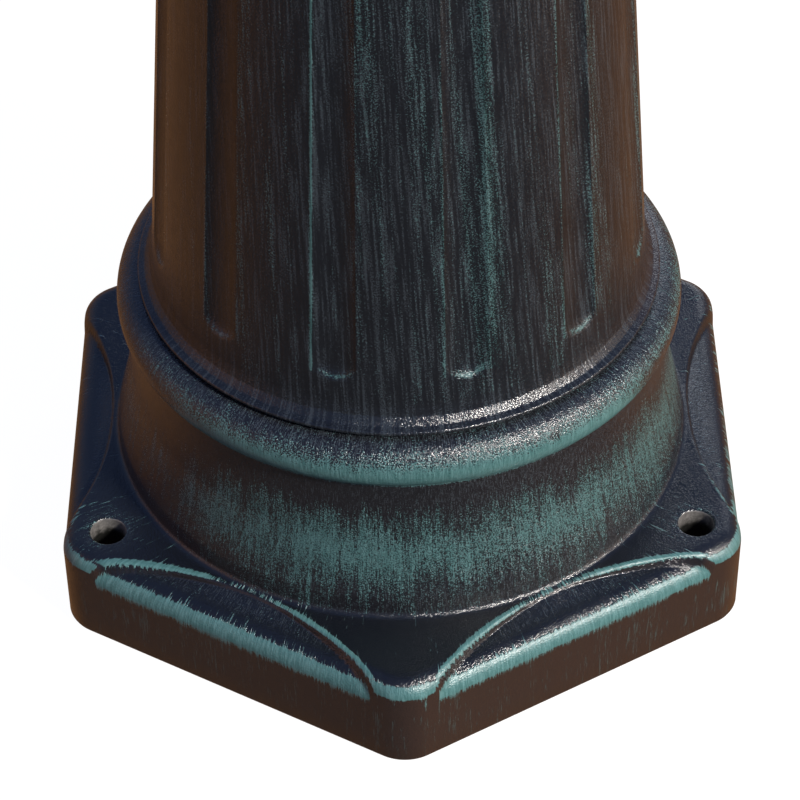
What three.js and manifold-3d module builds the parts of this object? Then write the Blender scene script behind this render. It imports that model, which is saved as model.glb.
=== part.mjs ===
// A cast aluminium street lamp post. A hexagonal base with three anchor holes carries a bell and a
// ring, a fluted tapering column stands on it, and a slender fluted shaft rises to a six-sided
// lantern whose roof opens on a hinge. One steel tie rod clamps the castings together.
// Millimetres, +Z up. The origin is the centre of the base's underside, and a corner faces -Y.

import * as THREE from "three";
import { mergeVertices } from "three/addons/utils/BufferGeometryUtils.js";
import Module from "manifold-3d";

const wasm = await Module();
wasm.setup();

// ---------- driving dimensions ----------

const GAP = 0.3; // between pieces that touch
const WELD = 1e-4;
const CORNERS = 6;
const FLUTES = 12;
const FLUTE_WIDTH_DEG = 10;

// Base casting
const BASE_APOTHEM = 107;
const BASE_CORNER_R = 13.8;
const BASE_WALL = 7;
const RIM_R = 6.3;
const SEGMENT_TOP = 29.8;
const DECK_TOP = 33;
const DECK_UNDERSIDE = 24;
const SCALLOP_R = 105;
const SCALLOP_CENTRE = 198;
const ANCHOR_PCD = 213.6;
const ANCHOR_HOLE_R = 5.5;
const ANCHOR_BOSS_R = 13;
const BELL_FOOT_R = 91.8;
const BELL_NECK_R = 84.5;
const RING_TUBE_R = 8.3;
const RING_CENTRE_R = 80.3;
const RING_CENTRE_Z = 89.6;
const SHELF_Z = 76;
const SHELF_THICK = 6;
const SHELF_BORE_R = 50;
const BASE_BORE_R = 62;

// Column, shaft and the turned pieces between them
const COLUMN_FOOT_Z = 98.3;
const COLUMN_TOP_Z = 480;
const COLUMN_R_AT_100 = 77.2;
const COLUMN_TAPER = 0.0755;
const COLUMN_EASE_Z = 300;
const COLUMN_TOP_TAPER = 0.035;
const COLUMN_WALL = 5.5;
const COLUMN_FLUTE_DEPTH = 2.6;
const COLLAR_TOP_Z = 540;
const SHAFT_TOP_Z = 1490;
const SHAFT_BOTTOM_R = 38;
const SHAFT_TOP_R = 31;
const SHAFT_WALL = 4.5;
const SHAFT_FLUTE_DEPTH = 1.6;
const UPPER_COLLAR_TOP_Z = 1535;
const CAPITAL_TOP_Z = 1680;

// Tie rod and what it clamps
const ROD_R = 6;
const ROD_BOTTOM_Z = 52;
const ROD_HOLE_R = 7;
const NUT_APOTHEM = 9.5;
const NUT_THICK = 10;
const WASHER_R = 15;
const WASHER_THICK = 2.5;
const BRIDGE_LENGTH = 118;
const BRIDGE_WIDTH = 30;
const BRIDGE_THICK = 6;

// Lantern
const FLOOR_THICK = 10;
const FLOOR_APOTHEM = 66;
const FLOOR_LIP = 5;
const LANTERN_HEIGHT = 240;
const TOP_RING_APOTHEM = 84;
const TOP_RING_THICK = 13.7;
const PANE_THICK = 3;
const BAR_FLANGE = 3;
const GLASS_SETBACK = 3.5;

// Roof, its hinge on the -X side and its latch on the +X side
const EAVES_APOTHEM = 92;
const EAVES_DROP = 6;
const ROOF_TOP = 72;
const HINGE_X = -100;
const HINGE_DROP = 7;
const KNUCKLE_R = 4.5;
const PIN_R = 2;
const LATCH_X = 99;
const KNOB_R = 6.2;
const LATCH_WIDTH = 18;
const LATCH_PLATE = 5;
const LATCH_MARGIN = 7;
const LUG_DROP = 12.5;
const VENT_CAP_HEIGHT = 26;
const STUD_NUT = 6.5; // apothem and thickness
const REFLECTOR_FOOT = 13;
const REFLECTOR_TOP = 41.5;
const REFLECTOR_SHEET = 1.5;

// Electrical parts
const CABLE_R = 4;
const CABLE_TOP_X = 30;
const CABLE_SHAFT_X = 15;
const HOLDER_FOOT = 26.3;
const HOLDER_HEIGHT = 46;
const BULB_R = 30;
const BRACKET_SHEET = 2;
const BRACKET_SCREW_Y = 34;

// Levels that follow from them
const FLOOR_Z = CAPITAL_TOP_Z + GAP;
const FLOOR_TOP_Z = FLOOR_Z + FLOOR_THICK;
const TOP_RING_Z = FLOOR_TOP_Z + LANTERN_HEIGHT;
const SEAT_Z = TOP_RING_Z + TOP_RING_THICK;
const HINGE_Z = SEAT_Z - HINGE_DROP;
const RAD = Math.PI / 180;

// ---------- finishes ----------

const finish = (color, roughness, metalness, extra = {}) => ({ color, roughness, metalness, ...extra });
const FINISHES = {
  casting: finish(0x1c2326, 0.45, 0.5),
  zinc: finish(0x9a9fa3, 0.4, 0.9),
  stainless: finish(0xb5b7b8, 0.3, 1),
  glass: finish(0xe8f0ee, 0.05, 0, { transparent: true, opacity: 0.35 }),
  opal: finish(0xf4efe2, 0.25, 0),
  capShell: finish(0xc9c6bd, 0.3, 1),
  porcelain: finish(0xf2f0ea, 0.2, 0),
  enamel: finish(0xf6f6f2, 0.35, 0),
  rubber: finish(0x17181a, 0.8, 0),
  terminal: finish(0xe6e1d2, 0.6, 0),
};

// ---------- geometry tools ----------

// A closed geometry as a solid that can be joined and cut.
function solid(geometry) {
  const bare = new THREE.BufferGeometry();
  bare.setAttribute("position", geometry.getAttribute("position").clone());
  if (geometry.index) bare.setIndex(geometry.index.clone());
  const welded = mergeVertices(bare, WELD);
  const triVerts = [];
  for (let i = 0; i < welded.index.count; i += 3) {
    const [a, b, c] = welded.index.array.slice(i, i + 3);
    if (a !== b && b !== c && c !== a) triVerts.push(a, b, c);
  }
  return new wasm.Manifold(
    new wasm.Mesh({
      numProp: 3,
      vertProperties: welded.attributes.position.array,
      triVerts: new Uint32Array(triVerts),
    }),
  );
}

const join = (first, ...others) => others.reduce((sum, other) => sum.add(other), first);
const cut = (body, ...tools) => tools.reduce((rest, tool) => rest.subtract(tool), body);

function toGeometry(body) {
  const mesh = body.getMesh();
  const geometry = new THREE.BufferGeometry();
  geometry.setAttribute("position", new THREE.BufferAttribute(mesh.vertProperties, 3));
  geometry.setIndex(new THREE.BufferAttribute(mesh.triVerts, 1));
  geometry.computeVertexNormals();
  return geometry;
}

// A body turned about the Z axis from a profile of [radius, height] points. The profile closes
// on itself, or on the axis where its ends lie there.
function turned(profile, sides = 36) {
  const area = profile.reduce((sum, [r, z], i) => {
    const [nextR, nextZ] = profile[(i + 1) % profile.length];
    return sum + r * nextZ - nextR * z;
  }, 0);
  const points = profile.map(([r, z]) => new THREE.Vector2(r, z));
  if (area < 0) points.reverse();
  if (points[0].x > 0 || points.at(-1).x > 0) points.push(points[0].clone());
  return solid(new THREE.LatheGeometry(points, sides).rotateX(Math.PI / 2));
}

const disc = (radius, z0, z1, sides = 24) => turned([[0, z0], [radius, z0], [radius, z1], [0, z1]], sides);
const sleeve = (inner, outer, z0, z1, sides = 16) =>
  turned([[inner, z0], [outer, z0], [outer, z1], [inner, z1]], sides);

function box([x0, y0, z0], [x1, y1, z1]) {
  const geometry = new THREE.BoxGeometry(x1 - x0, y1 - y0, z1 - z0);
  return solid(geometry.translate((x0 + x1) / 2, (y0 + y1) / 2, (z0 + z1) / 2));
}

// A body through rings of equally many points, listed upwards. A tube's rings come back down
// inside and close on the first.
function loft(rings, tube = false) {
  const count = rings[0].length;
  const positions = rings.flat().flatMap((point) => point.toArray());
  const index = [];
  const bands = tube ? rings.length : rings.length - 1;
  for (let band = 0; band < bands; band += 1) {
    const low = band * count;
    const high = ((band + 1) % rings.length) * count;
    for (let i = 0; i < count; i += 1) {
      const next = (i + 1) % count;
      index.push(low + i, low + next, high + next, low + i, high + next, high + i);
    }
  }
  if (!tube) {
    const top = (rings.length - 1) * count;
    for (let i = 1; i < count - 1; i += 1) {
      index.push(0, i + 1, i, top, top + i, top + i + 1);
    }
  }
  const geometry = new THREE.BufferGeometry();
  geometry.setAttribute("position", new THREE.Float32BufferAttribute(positions, 3));
  geometry.setIndex(index);
  return solid(geometry);
}

const polar = (radius, degrees, z = 0) =>
  new THREE.Vector3(radius * Math.cos(degrees * RAD), radius * Math.sin(degrees * RAD), z);

const cornerAngle = (k) => 30 + 60 * k;

// A hexagon with flats at +X and -X. Its corners are rounded where cornerR is more than zero.
function hexagon(apothem, z, cornerR = 0, steps = 4) {
  const centreDistance = (apothem - cornerR) / Math.cos(30 * RAD);
  const ring = [];
  for (let k = 0; k < CORNERS; k += 1) {
    const centre = polar(centreDistance, cornerAngle(k), z);
    const turns = cornerR > 0 ? steps : 0;
    for (let i = 0; i <= turns; i += 1) {
      const angle = cornerAngle(k) + (turns ? 60 * (i / turns - 0.5) : 0);
      ring.push(polar(cornerR, angle).add(centre));
    }
  }
  return ring;
}

// A round section with flutes cut into it, centred midway between the corners and the flats.
const FLUTE_STATIONS = [-0.5, -0.25, 0.25, 0.5, 1.5];
function flutedRing(radius, z, depth) {
  const pitch = 360 / FLUTES;
  const ring = [];
  for (let k = 0; k < FLUTES; k += 1) {
    for (const station of FLUTE_STATIONS) {
      const across = station * FLUTE_WIDTH_DEG;
      const open = Math.max(0, 1 - (2 * station) ** 2);
      ring.push(polar(radius - depth * Math.sqrt(open), pitch * (k + 0.5) + across, z));
    }
  }
  return ring;
}

// ---------- the scene graph ----------

const lampPost = new THREE.Group();

function add(name, body, finishName) {
  const material = new THREE.MeshStandardMaterial(FINISHES[finishName]);
  const mesh = new THREE.Mesh(toGeometry(body), material);
  mesh.name = name;
  lampPost.add(mesh);
  return mesh;
}

function addAt(name, body, finishName, position, tiltDegrees = [0, 0, 0]) {
  const mesh = add(name, body, finishName);
  mesh.position.set(...position);
  mesh.rotation.set(...tiltDegrees.map((angle) => angle * RAD));
  return mesh;
}

// ---------- fasteners ----------

function hexNut(apothem, thickness, holeR) {
  return cut(loft([hexagon(apothem, 0), hexagon(apothem, thickness)]), disc(holeR, -1, thickness + 1, 18));
}

// A screw standing head up, with the underside of its head at zero.
const panScrew = (headR, headHeight, shankR, length) =>
  turned(
    [
      [0, -length],
      [shankR, -length],
      [shankR, 0],
      [headR, 0],
      [headR, headHeight * 0.5],
      [headR * 0.7, headHeight],
      [0, headHeight],
    ],
    12,
  );

// ---------- base casting ----------

function plinth(topZ) {
  const rimSteps = 2;
  const rings = [hexagon(BASE_APOTHEM, 0, BASE_CORNER_R)];
  for (let i = 0; i <= rimSteps; i += 1) {
    const angle = (i / rimSteps) * 90 * RAD;
    const inset = RIM_R * (1 - Math.cos(angle));
    const z = topZ - RIM_R + RIM_R * Math.sin(angle);
    rings.push(hexagon(BASE_APOTHEM - inset, z, BASE_CORNER_R - inset));
  }
  return loft(rings);
}

// Six arcs leave the deck raised only at the corners and round the foot of the bell.
function scallops() {
  return Array.from({ length: CORNERS }, (_, k) => {
    const centre = polar(SCALLOP_CENTRE, 60 * k);
    const arc = new THREE.CylinderGeometry(SCALLOP_R, SCALLOP_R, DECK_TOP, 66).rotateX(Math.PI / 2);
    return solid(arc.translate(centre.x, centre.y, SEGMENT_TOP - RIM_R + DECK_TOP / 2));
  });
}

function bellAndRing() {
  const ringBottom = Math.asin((BELL_NECK_R - RING_CENTRE_R) / RING_TUBE_R) / RAD - 90;
  const ringSteps = 6;
  const profile = [
    [0, SEGMENT_TOP - 1],
    [BELL_FOOT_R - 0.3, SEGMENT_TOP - 1],
    [BELL_FOOT_R, 36],
    [BELL_FOOT_R - 1.4, 43],
    [BELL_FOOT_R - 4.2, 54],
    [BELL_NECK_R + 0.8, 67],
  ];
  for (let i = 0; i <= ringSteps; i += 1) {
    const angle = ringBottom + (i / ringSteps) * (90 - ringBottom);
    profile.push([
      RING_CENTRE_R + RING_TUBE_R * Math.cos(angle * RAD),
      RING_CENTRE_Z + RING_TUBE_R * Math.sin(angle * RAD),
    ]);
  }
  profile.push([0, RING_CENTRE_Z + RING_TUBE_R]);
  return turned(profile, 48);
}

const anchorAngles = [90, 210, 330];
const anchorPoint = (angle) => polar(ANCHOR_PCD / 2, angle);

function baseCasting() {
  const outside = join(plinth(SEGMENT_TOP), cut(plinth(DECK_TOP), ...scallops()), bellAndRing());
  const innerApothem = BASE_APOTHEM - BASE_WALL;
  const plinthHollow = loft([hexagon(innerApothem, -1, 7, 2), hexagon(innerApothem, DECK_UNDERSIDE, 7, 2)]);
  const bellHollow = turned(
    [
      [0, -1],
      [86, -1],
      [86, 36],
      [82, 54],
      [78.5, SHELF_Z],
      [SHELF_BORE_R, SHELF_Z],
      [SHELF_BORE_R, SHELF_Z + SHELF_THICK],
      [BASE_BORE_R, SHELF_Z + SHELF_THICK],
      [BASE_BORE_R, COLUMN_FOOT_Z + 1],
      [0, COLUMN_FOOT_Z + 1],
    ],
    30,
  );
  let body = cut(outside, plinthHollow, bellHollow);
  for (const angle of anchorAngles) {
    const { x, y } = anchorPoint(angle);
    const boss = disc(ANCHOR_BOSS_R, 0, DECK_UNDERSIDE + 2, 16).translate([x, y, 0]);
    const hole = disc(ANCHOR_HOLE_R, -1, DECK_TOP + 1, 16).translate([x, y, 0]);
    body = cut(join(body, boss), hole);
  }
  return body;
}

add("base_casting", baseCasting(), "casting");

// ---------- column ----------

function columnRadius(z) {
  const straight = COLUMN_R_AT_100 - COLUMN_TAPER * (Math.min(z, COLUMN_EASE_Z) - 100);
  const eased = Math.max(0, z - COLUMN_EASE_Z);
  const slackening = (COLUMN_TAPER - COLUMN_TOP_TAPER) / (COLUMN_TOP_Z - COLUMN_EASE_Z);
  return straight - COLUMN_TAPER * eased + (slackening * eased ** 2) / 2;
}

// Flutes open over their rounded ends, so each ring has a share of the full depth.
function flutedOutside(levels, radiusAt, depth) {
  return levels.map(([z, share]) => flutedRing(radiusAt(z), z, depth * share));
}

function lowerColumn() {
  const fluteFoot = 115;
  const fluteHead = COLUMN_TOP_Z - 22;
  const outside = flutedOutside(
    [
      [fluteFoot, 0],
      [fluteFoot + 6, 1],
      [COLUMN_EASE_Z, 1],
      [fluteHead - 6, 1],
      [fluteHead, 0],
      [COLUMN_TOP_Z, 0],
    ],
    columnRadius,
    COLUMN_FLUTE_DEPTH,
  );
  const spigotR = BASE_BORE_R - GAP * 2;
  const footEdgeR = 81.5;
  const round = (radius, z) => flutedRing(radius, z, 0);
  return loft(
    [
      round(spigotR, SHELF_Z + SHELF_THICK + GAP),
      round(spigotR, COLUMN_FOOT_Z),
      round(footEdgeR - 1, COLUMN_FOOT_Z),
      round(footEdgeR, COLUMN_FOOT_Z + 2),
      round(columnRadius(100), COLUMN_FOOT_Z + 4.6),
      ...outside,
      round(columnRadius(COLUMN_TOP_Z) - COLUMN_WALL, COLUMN_TOP_Z),
      round(columnRadius(COLUMN_EASE_Z) - COLUMN_WALL, COLUMN_EASE_Z),
      round(columnRadius(106) - COLUMN_WALL, COLUMN_FOOT_Z + 8),
      round(spigotR - 6, COLUMN_FOOT_Z + 6),
      round(spigotR - 6, SHELF_Z + SHELF_THICK + GAP),
    ],
    true,
  );
}

add("lower_column", lowerColumn(), "casting");

// ---------- shaft and collars ----------

function shaftRadius(z) {
  const share = (z - COLLAR_TOP_Z) / (SHAFT_TOP_Z - COLLAR_TOP_Z);
  return SHAFT_BOTTOM_R + (SHAFT_TOP_R - SHAFT_BOTTOM_R) * share;
}

function shaft() {
  const bottom = COLLAR_TOP_Z + GAP;
  const band = 26;
  const outside = flutedOutside(
    [
      [bottom, 0],
      [bottom + band, 0],
      [bottom + band + 5, 1],
      [SHAFT_TOP_Z - band - 5, 1],
      [SHAFT_TOP_Z - band, 0],
      [SHAFT_TOP_Z, 0],
    ],
    shaftRadius,
    SHAFT_FLUTE_DEPTH,
  );
  return loft(
    [
      ...outside,
      flutedRing(shaftRadius(SHAFT_TOP_Z) - SHAFT_WALL, SHAFT_TOP_Z, 0),
      flutedRing(shaftRadius(bottom) - SHAFT_WALL, bottom, 0),
    ],
    true,
  );
}

function raised(profile, z) {
  return profile.map(([r, height]) => [r, z + height]);
}

// A moulded ring between the column and the shaft, with a spigot into each.
function lowerCollar() {
  const boreR = 29;
  return turned(
    raised(
      [
        [boreR, -12],
        [46, -12],
        [46, 0],
        [54, 0],
        [60, 5],
        [60, 12],
        [52.5, 20],
        [43, 32],
        [40.5, 45],
        [43.5, 50],
        [41, 59.7],
        [SHAFT_BOTTOM_R - SHAFT_WALL - GAP * 1.5, 59.7],
        [SHAFT_BOTTOM_R - SHAFT_WALL - GAP * 1.5, 72],
        [boreR, 72],
      ],
      COLUMN_TOP_Z + GAP,
    ),
    32,
  );
}

const CAPITAL_REBATE_R = 26;

function upperCollar() {
  const boreR = 21.5;
  const spigotR = SHAFT_TOP_R - SHAFT_WALL - GAP * 2;
  return turned(
    raised(
      [
        [boreR, -12],
        [spigotR, -12],
        [spigotR, 0],
        [33, 0],
        [40, 7],
        [40, 13],
        [33, 24],
        [31.5, 31],
        [33, 44.7],
        [CAPITAL_REBATE_R - GAP, 44.7],
        [CAPITAL_REBATE_R - GAP, 52],
        [boreR, 52],
      ],
      SHAFT_TOP_Z + GAP,
    ),
    28,
  );
}

add("lower_collar", lowerCollar(), "casting");
add("shaft", shaft(), "casting");
add("upper_collar", upperCollar(), "casting");

// ---------- capital ----------

const floorScrewAngles = [30, 150, 270];
const floorScrewPoint = (angle) => polar(48, angle);

// A flared head that widens to a plate under the lantern.
function capital() {
  const height = CAPITAL_TOP_Z - UPPER_COLLAR_TOP_Z - GAP;
  const plate = 10;
  let body = turned(
    raised(
      [
        [CAPITAL_REBATE_R, 0],
        [31, 0],
        [31, 6],
        [27.5, 12],
        [30, 38],
        [36, 62],
        [46, 88],
        [58, 112],
        [60, 122],
        [67, 128],
        [67, height],
        [ROD_HOLE_R, height],
        [ROD_HOLE_R, height - plate],
        [54, height - plate],
        [52, 116],
        [31, 62],
        [21.5, 24],
        [21.5, 9],
        [CAPITAL_REBATE_R, 9],
      ],
      UPPER_COLLAR_TOP_Z + GAP,
    ),
    32,
  );
  body = cut(body, disc(10, CAPITAL_TOP_Z - plate - 1, CAPITAL_TOP_Z + 1).translate([CABLE_TOP_X, 0, 0]));
  for (const angle of floorScrewAngles) {
    const { x, y } = floorScrewPoint(angle);
    body = cut(body, disc(3.3, CAPITAL_TOP_Z - plate - 1, CAPITAL_TOP_Z + 1, 12).translate([x, y, 0]));
  }
  return body;
}

add("capital", capital(), "casting");

// ---------- tie rod ----------

const bridgeTopZ = SHELF_Z - GAP;
const bridgeBottomZ = bridgeTopZ - BRIDGE_THICK;

function clampBridge() {
  const bar = box(
    [-BRIDGE_LENGTH / 2, -BRIDGE_WIDTH / 2, bridgeBottomZ],
    [BRIDGE_LENGTH / 2, BRIDGE_WIDTH / 2, bridgeTopZ],
  );
  return cut(bar, disc(ROD_HOLE_R, bridgeBottomZ - 1, bridgeTopZ + 1, 18));
}

const washer = sleeve(ROD_R + 0.4, WASHER_R, 0, WASHER_THICK);
const rodNut = hexNut(NUT_APOTHEM, NUT_THICK, ROD_R + GAP);
const bottomWasherZ = bridgeBottomZ - GAP - WASHER_THICK;
const rodTopZ = FLOOR_TOP_Z + 18;

add("clamp_bridge", clampBridge(), "zinc");
add("tie_rod", disc(ROD_R, ROD_BOTTOM_Z, rodTopZ, 12), "zinc");
addAt("tie_rod_bottom_washer", washer, "zinc", [0, 0, bottomWasherZ]);
addAt("tie_rod_bottom_nut", rodNut, "zinc", [0, 0, bottomWasherZ - GAP - NUT_THICK]);
addAt("tie_rod_top_washer", washer, "zinc", [0, 0, FLOOR_TOP_Z + GAP]);
addAt("tie_rod_top_nut", rodNut, "zinc", [0, 0, FLOOR_TOP_Z + WASHER_THICK + GAP * 2]);

// ---------- lantern floor, bars, panes and top ring ----------

function lanternFloor() {
  const lipWidth = 2.7;
  const plate = loft([
    hexagon(FLOOR_APOTHEM, FLOOR_Z),
    hexagon(FLOOR_APOTHEM + 1.5, FLOOR_Z + 3),
    hexagon(FLOOR_APOTHEM + 1.5, FLOOR_TOP_Z - 3),
    hexagon(FLOOR_APOTHEM, FLOOR_TOP_Z),
  ]);
  // The upright lip stands outside the panes, and stops short of the bars at the corners.
  const lip = Array.from({ length: CORNERS }, (_, k) => {
    const halfWidth = 26;
    const block = box(
      [FLOOR_APOTHEM - lipWidth, -halfWidth, FLOOR_TOP_Z - 1],
      [FLOOR_APOTHEM, halfWidth, FLOOR_TOP_Z + FLOOR_LIP],
    );
    return block.rotate([0, 0, 60 * k]);
  });
  let body = cut(join(plate, ...lip), disc(ROD_HOLE_R, FLOOR_Z - 1, FLOOR_TOP_Z + 1, 18));
  body = cut(body, disc(6.6, FLOOR_Z - 1, FLOOR_TOP_Z + 1).translate([CABLE_TOP_X, 0, 0]));
  for (const angle of floorScrewAngles) {
    const { x, y } = floorScrewPoint(angle);
    body = cut(body, disc(3.4, FLOOR_Z - 1, FLOOR_TOP_Z + 1, 12).translate([x, y, 0]));
  }
  return body;
}

const barBottomZ = FLOOR_TOP_Z + GAP;
const barTopZ = TOP_RING_Z - GAP;
const lean = (TOP_RING_APOTHEM - FLOOR_APOTHEM) / LANTERN_HEIGHT;
const faceApothem = (z) => FLOOR_APOTHEM + lean * (z - FLOOR_TOP_Z);

// The section of a glazing bar, seen from above on the corner that faces +X: two flanges that
// follow the lantern's faces outside the glass, and a stem between the panes.
function barSection(cornerDistance, z, angle) {
  const reach = 9;
  const stemHalf = 2.2;
  const stemDepth = 13;
  const slope = Math.tan(30 * RAD);
  const inset = BAR_FLANGE / Math.cos(30 * RAD);
  const flangeEnd = [-slope * reach, reach];
  const flangeInner = [flangeEnd[0] - BAR_FLANGE * Math.cos(30 * RAD), reach - BAR_FLANGE / 2];
  const half = [flangeEnd, flangeInner, [-inset - slope * stemHalf, stemHalf], [-stemDepth, stemHalf]];
  const outline = [[0, 0], ...half, ...half.toReversed().map(([u, v]) => [u, -v])];
  return outline.map(([u, v]) =>
    new THREE.Vector3(cornerDistance + u, v, z).applyAxisAngle(new THREE.Vector3(0, 0, 1), angle * RAD),
  );
}

function glazingBar(k) {
  const cornerDistance = (z) => faceApothem(z) / Math.cos(30 * RAD);
  return loft([barBottomZ, barTopZ].map((z) => barSection(cornerDistance(z), z, cornerAngle(k))));
}

// A trapezoid of glass standing behind the bars' flanges on the face at 60 k degrees.
function pane(k) {
  const edgeGap = 3.4;
  const corners = [FLOOR_TOP_Z + 1, TOP_RING_Z - 1].map((z) => {
    const outer = faceApothem(z) - GLASS_SETBACK;
    const halfWidth = (outer - PANE_THICK) * Math.tan(30 * RAD) - edgeGap;
    const section = [
      [outer - PANE_THICK, -halfWidth],
      [outer, -halfWidth],
      [outer, halfWidth],
      [outer - PANE_THICK, halfWidth],
    ];
    return section.map(([x, y]) => new THREE.Vector3(x, y, z));
  });
  return loft(corners).rotate([0, 0, 60 * k]);
}

// The ring that the roof closes on, with the latch's slotted lug on its +X side.
function topRing() {
  const apothem = TOP_RING_APOTHEM;
  const ring = cut(
    loft([hexagon(apothem - 0.5, TOP_RING_Z), hexagon(apothem, TOP_RING_Z + 2), hexagon(apothem, SEAT_Z)]),
    loft([hexagon(apothem - 10, TOP_RING_Z - 1), hexagon(apothem - 10, SEAT_Z + 1)]),
  );
  const lug = box(
    [apothem - 4, -LATCH_WIDTH / 2, SEAT_Z - LUG_DROP],
    [LATCH_X + LATCH_MARGIN, LATCH_WIDTH / 2, SEAT_Z - LUG_DROP + LATCH_PLATE],
  );
  const slotHalf = [3.6, 7.6];
  const slot = box(
    [LATCH_X - slotHalf[0], -slotHalf[1], SEAT_Z - 20],
    [LATCH_X + slotHalf[0], slotHalf[1], SEAT_Z],
  );
  return cut(join(ring, lug), slot);
}

add("lantern_floor", lanternFloor(), "casting");
for (let k = 0; k < CORNERS; k += 1) {
  add(`glazing_bar_${k + 1}`, glazingBar(k), "casting");
  add(`glass_pane_${k + 1}`, pane(k), "glass");
}
add("lantern_top_ring", topRing(), "casting");
floorScrewAngles.forEach((angle, i) => {
  const { x, y } = floorScrewPoint(angle);
  addAt(`floor_screw_${i + 1}`, panScrew(5.5, 4, 2.9, 17), "stainless", [x, y, FLOOR_TOP_Z + GAP]);
});

// ---------- lamp and wiring ----------

function holderBracket() {
  const sheet = BRACKET_SHEET;
  const legY = 28;
  const footY = 40;
  const height = HOLDER_FOOT - GAP;
  const outline = [
    [-footY, 0],
    [-legY + sheet, 0],
    [-legY + sheet, height - sheet],
    [legY - sheet, height - sheet],
    [legY - sheet, 0],
    [footY, 0],
    [footY, sheet],
    [legY, sheet],
    [legY, height],
    [-legY, height],
    [-legY, sheet],
    [-footY, sheet],
  ];
  const width = 20;
  const shape = new THREE.Shape(outline.map(([y, z]) => new THREE.Vector2(y, z)));
  const strip = new THREE.ExtrudeGeometry(shape, { depth: width, bevelEnabled: false });
  strip.translate(0, 0, -width / 2).rotateX(Math.PI / 2).rotateZ(Math.PI / 2);
  return [-1, 1].reduce(
    (body, side) => cut(body, disc(2.4, -1, sheet + 1, 12).translate([0, side * BRACKET_SCREW_Y, 0])),
    solid(strip),
  );
}

// A porcelain lampholder with a cable entry at its side that opens downwards.
function lampholder() {
  const shell = turned(
    [
      [0, 0],
      [19, 0],
      [20, 2],
      [20, 16],
      [22, 20],
      [22, 42],
      [20.5, HOLDER_HEIGHT],
      [14.6, HOLDER_HEIGHT],
      [14.6, 17],
      [0, 17],
    ],
    24,
  );
  return join(shell, box([12, -7, 6], [CABLE_TOP_X + 6, 7, 16]));
}

const holderZ = FLOOR_TOP_Z + HOLDER_FOOT + GAP;
const bulbZ = holderZ + 19;

function bulbCap() {
  return turned(
    [
      [0, 0],
      [4, 0],
      [5, 2],
      [12.4, 6],
      [13.3, 8],
      [13.3, 26],
      [12, 26],
      [12, 10],
      [0, 10],
    ],
    20,
  );
}

// The bulb's envelope: a neck that stands in the cap, widening to a round head.
function bulbGlass() {
  const headZ = 74;
  const neckR = 11.6;
  const steps = 9;
  const start = -52;
  const profile = [
    [0, 12],
    [neckR, 12],
    [neckR, 28],
    [14.5, 38],
  ];
  for (let i = 0; i <= steps; i += 1) {
    const angle = (start + (i / steps) * (90 - start)) * RAD;
    profile.push([i === steps ? 0 : BULB_R * Math.cos(angle), headZ + BULB_R * Math.sin(angle)]);
  }
  return turned(profile, 20);
}

function cableGland() {
  const collar = FLOOR_THICK + GAP;
  const boreR = CABLE_R + 0.4;
  return turned(
    [
      [boreR, -collar - 6],
      [6.2, -collar - 6],
      [6.2, 0],
      [9.5, 0],
      [9.5, 6],
      [8.5, 7],
      [8.5, 11],
      [6, 14],
      [boreR, 14],
    ],
    16,
  );
}

const terminalTop = bridgeTopZ + GAP + 20;

function terminalBlock() {
  const base = bridgeTopZ + GAP;
  const body = box([18, -14, base], [38, 14, terminalTop]);
  const wells = [-8, 0, 8].map((y) => disc(2.5, terminalTop - 8, terminalTop + 1, 10).translate([34, y, 0]));
  return cut(body, ...wells);
}

// The supply cable climbs beside the tie rod from the terminal block to the lampholder.
function supplyCable() {
  const entryZ = holderZ + 6 - GAP;
  const route = [
    [26, terminalTop + GAP],
    [26, 122],
    [21, 200],
    [CABLE_SHAFT_X, 320],
    [CABLE_SHAFT_X, 600],
    [CABLE_SHAFT_X, 1000],
    [CABLE_SHAFT_X, 1400],
    [CABLE_SHAFT_X, 1565],
    [21, 1615],
    [CABLE_TOP_X - 0.6, 1650],
    [CABLE_TOP_X, 1672],
    [CABLE_TOP_X, 1700],
    [CABLE_TOP_X, entryZ],
  ].map(([x, z]) => new THREE.Vector3(x, 0, z));
  const section = new THREE.Shape();
  section.absarc(0, 0, CABLE_R, 0, 2 * Math.PI);
  return solid(
    new THREE.ExtrudeGeometry(section, {
      curveSegments: 4,
      steps: 32,
      bevelEnabled: false,
      extrudePath: new THREE.CatmullRomCurve3(route),
    }),
  );
}

addAt("lampholder_bracket", holderBracket(), "zinc", [0, 0, FLOOR_TOP_Z + GAP]);
[-1, 1].forEach((side, i) => {
  const position = [0, side * BRACKET_SCREW_Y, FLOOR_TOP_Z + BRACKET_SHEET + GAP * 2];
  addAt(`bracket_screw_${i + 1}`, panScrew(4, 3, 2, 2), "stainless", position);
});
addAt("lampholder", lampholder(), "porcelain", [0, 0, holderZ]);
addAt("bulb_cap", bulbCap(), "capShell", [0, 0, bulbZ]);
addAt("bulb_glass", bulbGlass(), "opal", [0, 0, bulbZ]);
addAt("cable_gland", cableGland(), "rubber", [CABLE_TOP_X, 0, FLOOR_TOP_Z + GAP]);
add("terminal_block", terminalBlock(), "terminal");
add("supply_cable", supplyCable(), "rubber");
addAt("earth_screw", panScrew(5, 4, 2.4, 0.5), "stainless", [-34, 0, FLOOR_TOP_Z + GAP + 0.5]);

// ---------- roof ----------

const GASKET_THICK = 2;
const roofSeat = GASKET_THICK + GAP * 2;
const earTop = -EAVES_DROP + LATCH_PLATE;

function roofGasket() {
  return cut(
    loft([hexagon(TOP_RING_APOTHEM - 1, 0), hexagon(TOP_RING_APOTHEM - 1, GASKET_THICK)]),
    loft([hexagon(TOP_RING_APOTHEM - 8, -1), hexagon(TOP_RING_APOTHEM - 8, GASKET_THICK + 1)]),
  );
}

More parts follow.
